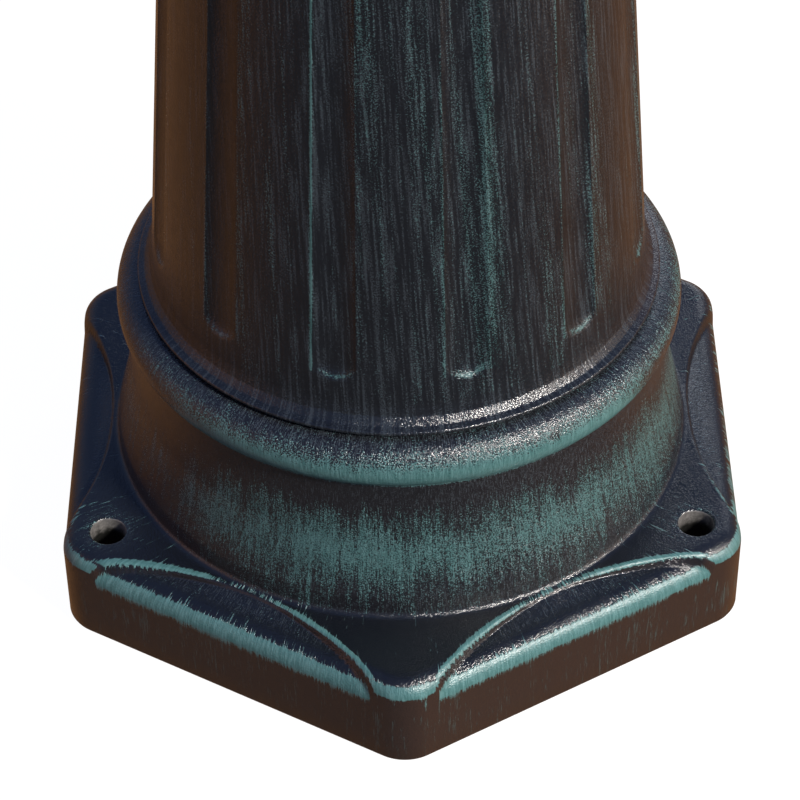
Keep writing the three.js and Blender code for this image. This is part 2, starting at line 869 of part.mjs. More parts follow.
// Six slopes over a short upright eaves band, with a ventilated plate on top. Heights are above
// the top ring's seat.
function roofCasting() {
  const outside = [
    [EAVES_APOTHEM - 1, -EAVES_DROP],
    [EAVES_APOTHEM, -EAVES_DROP + 1.5],
    [EAVES_APOTHEM, 6],
    [EAVES_APOTHEM - 3, 9],
    [80, 15],
    [66, 27],
    [54, 41],
    [44, 57],
    [40, 66],
    [40, ROOF_TOP],
  ];
  const inside = [
    [EAVES_APOTHEM - 4, -EAVES_DROP - 1],
    [EAVES_APOTHEM - 4, roofSeat],
    [78, roofSeat],
    [77.5, 12],
    [62, 25.5],
    [50.5, 39],
    [41, 54],
    [36.5, ROOF_TOP - 5],
  ];
  const hexStack = (rows) => loft(rows.map(([apothem, z]) => hexagon(apothem, z, 3, 1)));
  let body = cut(hexStack(outside), hexStack(inside), disc(4.6, ROOF_TOP - 8, ROOF_TOP + 1, 16));
  for (let k = 0; k < CORNERS; k += 1) {
    const { x, y } = polar(23, 60 * k);
    body = cut(body, disc(5, ROOF_TOP - 8, ROOF_TOP + 1, 8).translate([x, y, 0]));
  }
  const ear = box(
    [EAVES_APOTHEM - 1, -LATCH_WIDTH / 2, -EAVES_DROP],
    [LATCH_X + LATCH_MARGIN, LATCH_WIDTH / 2, earTop],
  );
  return cut(join(body, ear), disc(3.4, -EAVES_DROP - 1, earTop + 1, 16).translate([LATCH_X, 0, 0]));
}

function ventCap() {
  return turned(
    [
      [4.6, 0],
      [11, 0],
      [11, 9],
      [30, 8],
      [46.5, 2.5],
      [47, 4.5],
      [38, 12],
      [14, 21],
      [14, VENT_CAP_HEIGHT],
      [4.6, VENT_CAP_HEIGHT],
    ],
    24,
  );
}

function finial() {
  const ballR = 12.5;
  const ballZ = 27;
  const steps = 6;
  const start = -58;
  const end = 62;
  const profile = [
    [0, 18],
    [4.3, 18],
    [4.3, 0],
    [13, 0],
    [13, 3],
    [9, 6],
    [6.6, 12],
  ];
  for (let i = 0; i <= steps; i += 1) {
    const angle = (start + (i / steps) * (end - start)) * RAD;
    profile.push([ballR * Math.cos(angle), ballZ + ballR * Math.sin(angle)]);
  }
  profile.push([4.6, 41], [3, 50], [0, 60]);
  return turned(profile, 18);
}

// A conical white reflector that hangs on the finial's stud.
function reflector() {
  return turned(
    [
      [4.6, REFLECTOR_TOP - REFLECTOR_SHEET],
      [13, REFLECTOR_TOP - REFLECTOR_SHEET],
      [58, REFLECTOR_FOOT],
      [62, REFLECTOR_FOOT],
      [62, REFLECTOR_FOOT + REFLECTOR_SHEET],
      [58.5, REFLECTOR_FOOT + REFLECTOR_SHEET],
      [13.5, REFLECTOR_TOP],
      [4.6, REFLECTOR_TOP],
    ],
    24,
  );
}

const capZ = ROOF_TOP + GAP;
const finialZ = capZ + VENT_CAP_HEIGHT + GAP;
const studNut = hexNut(STUD_NUT, STUD_NUT, 4.2);
const studNutZ = ROOF_TOP - 5 - GAP - STUD_NUT;
const reflectorNutZ = REFLECTOR_TOP - REFLECTOR_SHEET - GAP - STUD_NUT;

addAt("roof_gasket", roofGasket(), "rubber", [0, 0, SEAT_Z + GAP]);
addAt("roof_casting", roofCasting(), "casting", [0, 0, SEAT_Z]);
addAt("vent_cap", ventCap(), "casting", [0, 0, SEAT_Z + capZ]);
addAt("finial", finial(), "casting", [0, 0, SEAT_Z + finialZ]);
addAt("finial_stud", disc(3.9, 30, finialZ + 16, 12), "zinc", [0, 0, SEAT_Z]);
addAt("finial_nut", studNut, "zinc", [0, 0, SEAT_Z + studNutZ]);
addAt("reflector", reflector(), "enamel", [0, 0, SEAT_Z]);
const spacer = sleeve(4.2, 7, REFLECTOR_TOP + GAP, studNutZ - GAP, 16);
addAt("reflector_spacer", spacer, "zinc", [0, 0, SEAT_Z]);
addAt("reflector_nut", studNut, "zinc", [0, 0, SEAT_Z + reflectorNutZ]);

// ---------- roof hinge ----------

const KNUCKLE_HALF = 12;
const LEAF_HALF = 26;
const LEAF_THICK = 3;

// A knuckle round the hinge line, from y0 to y1.
function knuckle(y0, y1) {
  const barrel = sleeve(PIN_R + GAP, KNUCKLE_R, y0, y1, 16).rotate([-90, 0, 0]);
  return barrel.translate([HINGE_X, 0, HINGE_Z]);
}

// The hole of a leaf's lower plates is cut again after the plates are joined on.
const pinHole = disc(PIN_R + GAP, -40, 40, 16).rotate([-90, 0, 0]).translate([HINGE_X, 0, HINGE_Z]);

function frameLeaf() {
  const wallX = -TOP_RING_APOTHEM - GAP;
  const web = box([HINGE_X, -KNUCKLE_HALF, SEAT_Z - 11.4], [wallX, KNUCKLE_HALF, SEAT_Z - 8.4]);
  const plate = box([wallX - LEAF_THICK, -LEAF_HALF, SEAT_Z - 13], [wallX, LEAF_HALF, SEAT_Z - 8.4]);
  return cut(join(knuckle(-KNUCKLE_HALF, KNUCKLE_HALF), web, plate), pinHole);
}

function roofLeaf() {
  const wallX = -EAVES_APOTHEM - GAP;
  const plate = box([wallX - LEAF_THICK, -LEAF_HALF, SEAT_Z - 4.6], [wallX, LEAF_HALF, SEAT_Z + 5.5]);
  const parts = [-1, 1].flatMap((side) => {
    const near = side * (KNUCKLE_HALF + 0.5);
    const far = side * LEAF_HALF;
    const [y0, y1] = [Math.min(near, far), Math.max(near, far)];
    const web = box([HINGE_X, y0, SEAT_Z - 5.6], [wallX, y1, SEAT_Z - 2.6]);
    return [knuckle(y0, y1), web];
  });
  return cut(join(plate, ...parts), pinHole);
}

const hingePin = turned([[0, -29], [3.4, -29], [3.4, -27], [PIN_R, -27], [PIN_R, 29], [0, 29]], 16);

add("hinge_leaf_frame", frameLeaf(), "stainless");
add("hinge_leaf_roof", roofLeaf(), "stainless");
addAt("hinge_pin", hingePin, "stainless", [HINGE_X, 0, HINGE_Z], [-90, 0, 0]);

// ---------- roof latch ----------

// A quarter-turn knob. Its crossbar drops through the lug's slot and turns under the lug.
function latchKnob() {
  const head = turned(
    [
      [0, -19],
      [2.8, -19],
      [2.8, earTop + GAP],
      [KNOB_R - 0.6, earTop + GAP],
      [KNOB_R, 1],
      [KNOB_R, 5],
      [KNOB_R - 1.5, 7],
      [0, 8],
    ],
    24,
  );
  const crossbar = box([-2.4, -6.5, -19], [2.4, 6.5, -15]);
  const grip = box([-1.6, -KNOB_R, 5], [1.6, KNOB_R, 14]);
  return join(head, crossbar, grip);
}

addAt("latch_knob", latchKnob(), "stainless", [LATCH_X, 0, SEAT_Z]);

export default lampPost;
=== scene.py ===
"""A cast aluminium street lamp post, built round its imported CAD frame.

Lengths in this script are millimetres until a mesh is made. The castings, the lamp and the latch
are fine meshes that stand for their CAD nodes. The other CAD nodes stay, with rounded edges and
materials of their own.
"""

import math

import bmesh
import bpy
import numpy as np
from mathutils import Matrix, Vector, kdtree


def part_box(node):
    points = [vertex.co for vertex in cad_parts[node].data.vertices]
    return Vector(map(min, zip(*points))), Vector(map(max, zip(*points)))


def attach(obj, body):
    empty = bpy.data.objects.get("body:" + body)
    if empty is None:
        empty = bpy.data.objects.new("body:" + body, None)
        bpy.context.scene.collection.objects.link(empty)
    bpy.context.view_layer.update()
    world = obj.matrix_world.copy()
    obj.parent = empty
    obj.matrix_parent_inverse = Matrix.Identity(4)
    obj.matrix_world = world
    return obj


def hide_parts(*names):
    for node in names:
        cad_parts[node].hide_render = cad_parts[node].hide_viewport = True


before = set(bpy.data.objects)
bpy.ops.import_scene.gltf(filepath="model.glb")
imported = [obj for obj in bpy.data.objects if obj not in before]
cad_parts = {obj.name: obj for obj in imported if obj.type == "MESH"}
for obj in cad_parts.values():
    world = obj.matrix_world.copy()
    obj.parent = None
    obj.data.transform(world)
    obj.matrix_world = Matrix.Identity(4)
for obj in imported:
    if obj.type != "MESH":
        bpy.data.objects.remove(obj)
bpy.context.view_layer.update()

MM = 0.001
CORNERS = 6


def add_object(name, data):
    made = bpy.data.objects.new(name, data)
    bpy.context.scene.collection.objects.link(made)
    return made


# ---- camera

CAMERA_TARGET = (-0.07, 0.0, 37.43)
CAMERA_DISTANCE = 1016.3
CAMERA_ELEVATION = 43.28
CAMERA_AZIMUTH = -0.22
CAMERA_ROLL = -0.62
CAMERA_LENS = 140.25


def make_camera():
    place = Matrix.Translation(Vector(CAMERA_TARGET) * MM)
    for turn, axis in ((CAMERA_AZIMUTH, "Z"), (90 - CAMERA_ELEVATION, "X"), (CAMERA_ROLL, "Z")):
        place = place @ Matrix.Rotation(math.radians(turn), 4, axis)
    data = bpy.data.cameras.new("camera")
    data.lens = CAMERA_LENS
    data.sensor_width = 36
    data.clip_start = 0.05
    data.clip_end = 50
    camera = add_object("camera", data)
    camera.matrix_world = place @ Matrix.Translation((0, 0, CAMERA_DISTANCE * MM))
    bpy.context.scene.camera = camera


# ---- profiles

NEIGHBOURHOOD = 4.0


def smoothstep(low, high, value):
    share = np.clip((value - low) / (high - low), 0, 1)
    return share * share * (3 - 2 * share)


def full_turn(count):
    return np.linspace(0, 2 * math.pi, count, endpoint=False)


def on_circle(radius, turns):
    """The (x, y) points of a circle round the axis at the given turns, in radians."""
    return [(radius * math.cos(a), radius * math.sin(a)) for a in turns]


def polar(radius, angle, z):
    """Points at the radii, angles and heights, which broadcast together."""
    radius, angle, z = np.broadcast_arrays(radius, angle, z)
    return np.stack([radius * np.cos(angle), radius * np.sin(angle), z], -1)


def hex_columns(half):
    """Column angles of a hexagonal piece from those of half a side, in degrees up to 30."""
    sector = np.unique(np.round(np.concatenate([half, 60 - half, [30]]), 6))
    sector = sector[sector < 60 - 1e-6]
    return np.radians(np.concatenate([sector + 60 * k for k in range(CORNERS)]))


def outline(corners, step=2.0, closed=False, turn=14):
    """A polyline through (x, z, fillet) corners, with each fillet an arc and no stretch over step."""
    points = [np.array(corner[:2], float) for corner in corners]
    fillets = [corner[2] if len(corner) > 2 else 0 for corner in corners]
    count = len(points)
    made = []
    for i, point in enumerate(points):
        before, after = points[i - 1], points[(i + 1) % count]
        end = not closed and i in (0, count - 1)
        u, v = before - point, after - point
        lu, lv = np.hypot(*u), np.hypot(*v)
        angle = math.pi if end else math.acos(np.clip(u @ v / (lu * lv), -1, 1))
        if end or fillets[i] == 0 or angle > math.radians(178):
            made.append(point)
            continue
        reach = min(fillets[i] / math.tan(angle / 2), 0.48 * lu, 0.48 * lv)
        radius = reach * math.tan(angle / 2)
        middle = u / lu + v / lv
        centre = point + middle / np.hypot(*middle) * radius / math.sin(angle / 2)
        first, last = point + u / lu * reach - centre, point + v / lv * reach - centre
        sweep = math.pi - angle
        steps = max(2, math.ceil(math.degrees(sweep) / turn))
        for share in np.linspace(0, 1, steps + 1):
            a, b = math.sin((1 - share) * sweep), math.sin(share * sweep)
            made.append(centre + (a * first + b * last) / math.sin(sweep))
    ends = made + [made[0]] if closed else made
    fine = []
    for a, b in zip(ends, ends[1:]):
        pieces = max(1, math.ceil(np.hypot(*(b - a)) / step))
        fine.extend(a + (b - a) * k / pieces for k in range(pieces))
    if not closed:
        fine.append(ends[-1])
    return np.array(fine)


def lengths_along(profile):
    steps = np.hypot(*np.diff(profile, axis=0).T)
    return np.concatenate([[0], np.cumsum(steps)])


def exposure(profile, closed):
    """How far each point of a profile stands proud of its neighbourhood, in millimetres."""
    along = lengths_along(profile)
    total = along[-1] + (np.hypot(*(profile[0] - profile[-1])) if closed else 0)
    gap = np.abs(along[:, None] - along[None, :])
    if closed:
        gap = np.minimum(gap, total - gap)
    share = np.gradient(along) + 1e-6
    weight = np.exp(-((gap / NEIGHBOURHOOD) ** 2)) * share[None, :]
    mean = weight @ profile / weight.sum(1)[:, None]
    if closed:
        tangent = np.roll(profile, -1, 0) - np.roll(profile, 1, 0)
    else:
        tangent = np.gradient(profile, axis=0)
    normal = np.stack([tangent[:, 1], -tangent[:, 0]], 1)
    normal /= np.hypot(*normal.T)[:, None] + 1e-9
    return ((profile - mean) * normal).sum(1)


def off_middle(angle):
    """Degrees from the middle of the nearest side of a hexagon, whose flats face each 60 degrees."""
    return (np.degrees(angle) + 30) % 60 - 30


def hex_radius(angle, apothem, corner):
    """How far a hexagon with rounded corners reaches at each angle."""
    off = np.radians(np.abs(off_middle(angle)))
    inner = apothem - corner
    side = inner * math.tan(math.pi / 6)
    towards = np.cos(off) * inner + np.sin(off) * side
    inside = np.maximum(corner**2 - inner**2 - side**2 + towards**2, 0)
    rounded = towards + np.sqrt(inside)
    flat = apothem / np.cos(off)
    return np.where(flat * np.sin(off) > side, rounded, flat)


# ---- meshes from rings of points

# How the rubbed paint of a surface looks: its grain, from strokes at 0 to stipple at 1, its
# cover, and the tone of the dark paint under it, from charcoal at 0 to brown at 1. The brown is
# the wall's own paint, and painted reflection of warm ground on the flanks of the column, bell and ring.
MOULDING = (0.35, 0.8, 0.15)


def put_attributes(mesh, wear, finish, stroke):
    for name, kind, field, values in (
        ("wear", "FLOAT", "value", wear),
        ("finish", "FLOAT_VECTOR", "vector", finish),
        ("stroke", "FLOAT_VECTOR", "vector", stroke),
    ):
        layer = mesh.attributes.get(name) or mesh.attributes.new(name, kind, "POINT")
        layer.data.foreach_set(field, np.ascontiguousarray(values, np.float32).ravel())


def read_attributes(mesh):
    count = len(mesh.vertices)
    place, wear = np.zeros(count * 3), np.zeros(count)
    finish, stroke = np.zeros(count * 3), np.zeros(count * 3)
    mesh.vertices.foreach_get("co", place)
    mesh.attributes["wear"].data.foreach_get("value", wear)
    mesh.attributes["finish"].data.foreach_get("vector", finish)
    mesh.attributes["stroke"].data.foreach_get("vector", stroke)
    return place.reshape(-1, 3), wear, finish.reshape(-1, 3), stroke.reshape(-1, 3)


def tidy_mesh(mesh):
    """Merges the points that meet on the axis, turns the faces outwards and shades them smooth."""
    bm = bmesh.new()
    bm.from_mesh(mesh)
    bmesh.ops.remove_doubles(bm, verts=bm.verts, dist=1e-6)
    bmesh.ops.dissolve_degenerate(bm, edges=bm.edges, dist=1e-7)
    bmesh.ops.recalc_face_normals(bm, faces=bm.faces)
    if bm.calc_volume(signed=True) < 0:
        bmesh.ops.reverse_faces(bm, faces=bm.faces)
    for face in bm.faces:
        face.smooth = True
    bm.to_mesh(mesh)
    bm.free()


def build(name, points, wear=0.0, finish=MOULDING, along=None, closed=False, around=100.0, slant=0.0):
    """A mesh through rings of points, rows by columns by xyz, each ring closed round the axis.

    wear says how much rubbed paint a point shows, and finish how it looks. A brush stroke runs
    along a column of points: along is the distance on it, and around the radius it is laid out on.
    """
    rows, columns = points.shape[:2]
    index = np.arange(rows * columns).reshape(rows, columns)
    low = index if closed else index[:-1]
    high = np.roll(index, -1, 0) if closed else index[1:]
    faces = np.stack([low, np.roll(low, -1, 1), np.roll(high, -1, 1), high], -1).reshape(-1, 4)
    flat = points.reshape(-1, 3)
    mesh = bpy.data.meshes.new(name)
    mesh.from_pydata((flat * MM).tolist(), [], faces.tolist())
    piece = add_object(name, mesh)
    along = points[..., 2] if along is None else along
    along = np.broadcast_to(along, (rows, columns)).ravel()
    angle = np.arctan2(flat[:, 1], flat[:, 0]) + slant * flat[:, 2]
    stroke = np.stack([around * np.cos(angle), around * np.sin(angle), along], -1)
    wear = np.broadcast_to(wear, (rows, columns)).ravel()
    finish = np.broadcast_to(finish, (rows, columns, 3)).reshape(-1, 3)
    put_attributes(mesh, wear, finish, stroke)
    tidy_mesh(mesh)
    return piece


def turned(name, profile, columns, closed=True, finish=MOULDING, bias=0.1, gain=0.55):
    """A piece turned about the axis from a profile of (radius, height) points."""
    points = polar(profile[:, :1], full_turn(columns), profile[:, 1:])
    wear = np.clip(bias + gain * exposure(profile, closed), 0, 1.0)
    radius = max(8.0, float(profile[:, 0].max()))
    along = lengths_along(profile)
    return build(name, points, wear[:, None], finish, along[:, None], closed, radius)


def shifted(profile, up):
    return [(radius, z + up, *fillet) for radius, z, *fillet in profile]


# ---- cutting and joining


def prism_tool(name, sections, places=((0, 0),)):
    """One mesh of the same solid at several places, from outlines of (x, y) points at heights."""
    bm = bmesh.new()
    for px, py in places:
        rings = [
            [bm.verts.new(((px + x) * MM, (py + y) * MM, z * MM)) for x, y in points]
            for z, points in sections
        ]
        count = len(rings[0])
        for low, high in zip(rings, rings[1:]):
            for k in range(count):
                after = (k + 1) % count
                bm.faces.new((low[k], low[after], high[after], high[k]))
        bm.faces.new(rings[0][::-1])
        bm.faces.new(rings[-1])
    bmesh.ops.recalc_face_normals(bm, faces=bm.faces)
    mesh = bpy.data.meshes.new(name)
    bm.to_mesh(mesh)
    bm.free()
    return add_object(name, mesh)


def cylinder_tool(name, profile, places=((0, 0),), count=48):
    """A turned tool from (radius, height) points."""
    turns = full_turn(count)
    return prism_tool(name, [(z, on_circle(radius, turns)) for radius, z in profile], places)


def block_tool(name, low, high, round_by):
    """A block between two corners, with its upright edges rounded and its top and bottom eased."""
    def rectangle(inset):
        x0, y0, x1, y1 = low[0] + inset, low[1] + inset, high[0] - inset, high[1] - inset
        r = max(round_by - inset, 0.05)
        centres = ((x1 - r, y1 - r), (x0 + r, y1 - r), (x0 + r, y0 + r), (x1 - r, y0 + r))
        points = []
        for quarter, (cx, cy) in enumerate(centres):
            corner = on_circle(r, np.radians(90 * quarter + np.linspace(0, 90, 6)))
            points += [(cx + x, cy + y) for x, y in corner]
        return points

    ease = min(0.4, round_by * 0.6)
    sections = [
        (low[2], rectangle(ease)),
        (low[2] + ease, rectangle(0)),
        (high[2] - ease, rectangle(0)),
        (high[2], rectangle(ease)),
    ]
    return prism_tool(name, sections)


def carve(piece, *steps):
    """Applies (tool, operation) steps to a piece, whose new points take the nearest old attributes."""
    place, wear, finish, stroke = read_attributes(piece.data)
    for tool, operation in steps:
        modifier = piece.modifiers.new("boolean", "BOOLEAN")
        modifier.operation = operation
        modifier.object = tool
        modifier.solver = "EXACT"
        depsgraph = bpy.context.evaluated_depsgraph_get()
        made = bpy.data.meshes.new_from_object(piece.evaluated_get(depsgraph))
        old = piece.data
        piece.modifiers.clear()
        piece.data = made
        bpy.data.meshes.remove(old)
        tool_mesh = tool.data
        bpy.data.objects.remove(tool)
        bpy.data.meshes.remove(tool_mesh)
    tree = kdtree.KDTree(len(place))
    for i, point in enumerate(place):
        tree.insert(point, i)
    tree.balance()
    nearest = [tree.find(vertex.co)[1] for vertex in piece.data.vertices]
    put_attributes(piece.data, wear[nearest], finish[nearest], stroke[nearest])
    piece.data.polygons.foreach_set("use_smooth", [True] * len(piece.data.polygons))
    piece.data.set_sharp_from_angle(angle=math.radians(38))


def finish_piece(piece, material, body, slot, *nodes):
    """Gives a piece its material and its body, and hides the CAD nodes that it stands for. slot is not used.
    """
    piece.data.materials.clear()
    piece.data.materials.append(material)
    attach(piece, body)
    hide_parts(*nodes)


# ---- base casting

BASE_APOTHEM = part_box("base_casting")[1].x / MM
BASE_CORNER = 13.8
RIM_R = 6.3
SEGMENT_TOP = 29.8
DECK_TOP = 33.0
SCALLOP_R = 105.0
SCALLOP_CENTRE = 198.0
STEP_WIDTH = 1.3
FOOT_FILLET = 2.1
BELL_FOOT_R = 91.6
RING_R = 80.3
RING_Z = 89.6
RING_TUBE = 8.3
ANCHOR_R = 106.8
ANCHOR_PLACES = on_circle(ANCHOR_R, np.radians((90, 210, 330)))
ANCHOR_HOLE = 5.5
ANCHOR_LIP = 0.9
ANCHOR_BOSS = 13.0
BASE_BORE = 62.0
BASE_WALL = 7.0
SHELF_Z = 76.0
SHELF_THICK = 6.0

# How much verdigris each side and corner carries, from the +X side round to it again.
RUB_AZIMUTHS = (0, 30, 60, 90, 120, 150, 180, 200, 211, 240, 270, 300, 330, 342, 360)
RUB_SHARES = (0.3, 0.35, 0.7, 0.6, 0.7, 0.2, 0.12, 0.2, 0.95, 1.0, 1.0, 1.0, 0.9, 0.45, 0.3)


def column_angles():
    """Angles of the base's columns, closer together near the corners, where the rims turn."""
    coarse = np.linspace(0, 20, 28, endpoint=False)
    return hex_columns(np.concatenate([coarse, np.linspace(20, 30, 32, endpoint=False)]))


def side_frame(x, y):
    """Distance along the nearest side's normal, and distance along that side, of each point."""
    angle = np.arctan2(y, x)
    off = angle - np.round(np.degrees(angle) / 60) * math.pi / 3
    reach = np.hypot(x, y)
    return reach * np.cos(off), reach * np.sin(off)


def scallop_distance(x, y):
    """Distance outside the nearest scallop's arc. It is negative on the lowered segment."""
    normal, tangent = side_frame(x, y)
    return np.hypot(normal - SCALLOP_CENTRE, tangent) - SCALLOP_R


def segment_lift(x, y):
    """The lowered segment swells up to the deck at the middle of each arc."""
    _, tangent = side_frame(x, y)
    from_arc = np.maximum(-scallop_distance(x, y), 0)
    return 2.3 * np.exp(-((from_arc / 5) ** 2)) * np.exp(-((tangent / 22) ** 2))


def lowered(x, y):
    """How far the surface lies below the deck: a convex quarter-round step, then the segment."""
    drop = DECK_TOP - SEGMENT_TOP - segment_lift(x, y)
    depth = np.maximum(-scallop_distance(x, y), 0)
    steep = 0.985
    rounded = 1 - np.sqrt(1 - np.minimum(depth / STEP_WIDTH, steep) ** 2)
    last = math.sqrt(1 - steep**2)
    eased = 1 - last * np.exp(-np.maximum(depth - steep * STEP_WIDTH, 0) / 0.15)
    return drop * np.where(depth < steep * STEP_WIDTH, rounded, eased)


def bell_profile():
    """From the bore over the ring and down the bell to the deck."""
    ring = [
        (RING_R + RING_TUBE * math.cos(a), RING_Z + RING_TUBE * math.sin(a))
        for a in np.radians(np.linspace(90, -60, 24))
    ]
    bell = [(84.5, 78, 1.5), (84.8, 74, 4), (86.3, 61, 10), (88.9, 49, 10), (91.2, 40, 6), (91.6, 36, 3)]
    foot = outline([(*ring[-1], 0), *bell, (BELL_FOOT_R, DECK_TOP + FOOT_FILLET, 0)], 1.6, turn=6)
    fillet = [
        (BELL_FOOT_R + FOOT_FILLET * (1 - math.cos(a)), DECK_TOP + FOOT_FILLET * (1 - math.sin(a)))
        for a in np.radians((18, 36, 54, 72, 90))
    ]
    bore = [(BASE_BORE, SHELF_Z + SHELF_THICK + 2), (BASE_BORE, 97), (BASE_BORE + 1, RING_Z + RING_TUBE)]
    return np.array([*bore, (72, RING_Z + RING_TUBE), *ring, *foot[1:], *fillet])


def base_rings():
    """Rings of the base casting, from the bore out to the rim, down the wall and up inside."""
    angle = column_angles()
    cos, sin = np.cos(angle), np.sin(angle)
    rings = []

    def ring(radius, z):
        rings.append(polar(radius, angle, z))

    def deck(radius, below=0.0):
        ring(radius, DECK_TOP - below - lowered(radius * cos, radius * sin))

    for radius, z in bell_profile():
        ring(radius, z)
    foot = BELL_FOOT_R + FOOT_FILLET
    rim = hex_radius(angle, BASE_APOTHEM - RIM_R, BASE_CORNER - RIM_R)
    off = np.radians(off_middle(angle))
    chord = np.maximum(SCALLOP_R**2 - (SCALLOP_CENTRE * np.sin(off)) ** 2, 0)
    arc = SCALLOP_CENTRE * np.cos(off) - np.sqrt(chord)
    arc = np.clip(arc, foot + 0.4, rim - 4.6)
    for share in 1 - np.linspace(1, 0, 12)[1:] ** 1.8:
        deck(foot + (arc - foot) * share)
    step_rows = STEP_WIDTH * np.array([0.12, 0.3, 0.47, 0.62, 0.76, 0.87, 0.94, 0.985, 1.02, 1.08, 1.2])
    for depth in step_rows:
        deck(arc + depth)
    from_step = arc + step_rows[-1]
    for share in np.linspace(0, 1, 11)[1:] ** 1.3:
        deck(from_step + (rim - from_step) * share)
    for turn in np.radians(np.linspace(0, 90, 13)[1:]):
        inset = RIM_R * (1 - math.sin(turn))
        radius = hex_radius(angle, BASE_APOTHEM - inset, BASE_CORNER - inset)
        deck(radius, RIM_R * (1 - math.cos(turn)))
    wall_top = rings[-1][:, 2]
    outer = hex_radius(angle, BASE_APOTHEM, BASE_CORNER)
    for share in (0.9, 0.6, 0.3):
        ring(outer, 0.8 + (wall_top - 0.8) * share)
    ring(outer, 0.8)
    ring(hex_radius(angle, BASE_APOTHEM - 0.25, BASE_CORNER), 0.2)
    ring(hex_radius(angle, BASE_APOTHEM - 0.8, BASE_CORNER), 0)
    inner = hex_radius(angle, BASE_APOTHEM - BASE_WALL, 7)
    ring(inner + 0.8, 0)
    ring(inner, 0.8)
    ring(inner, 22.5)
    ring(inner - 1.5, 24)
    shelf_top = SHELF_Z + SHELF_THICK
    hollow = [(88, 24), (86, 26), (86, 36), (82, 54), (78.5, SHELF_Z)]
    shelf = [(51, SHELF_Z), (50, SHELF_Z + 1), (50, shelf_top - 1), (51, shelf_top), (BASE_BORE, shelf_top)]
    for radius, z in hollow + shelf:
        ring(radius, z)
    return np.array(rings)


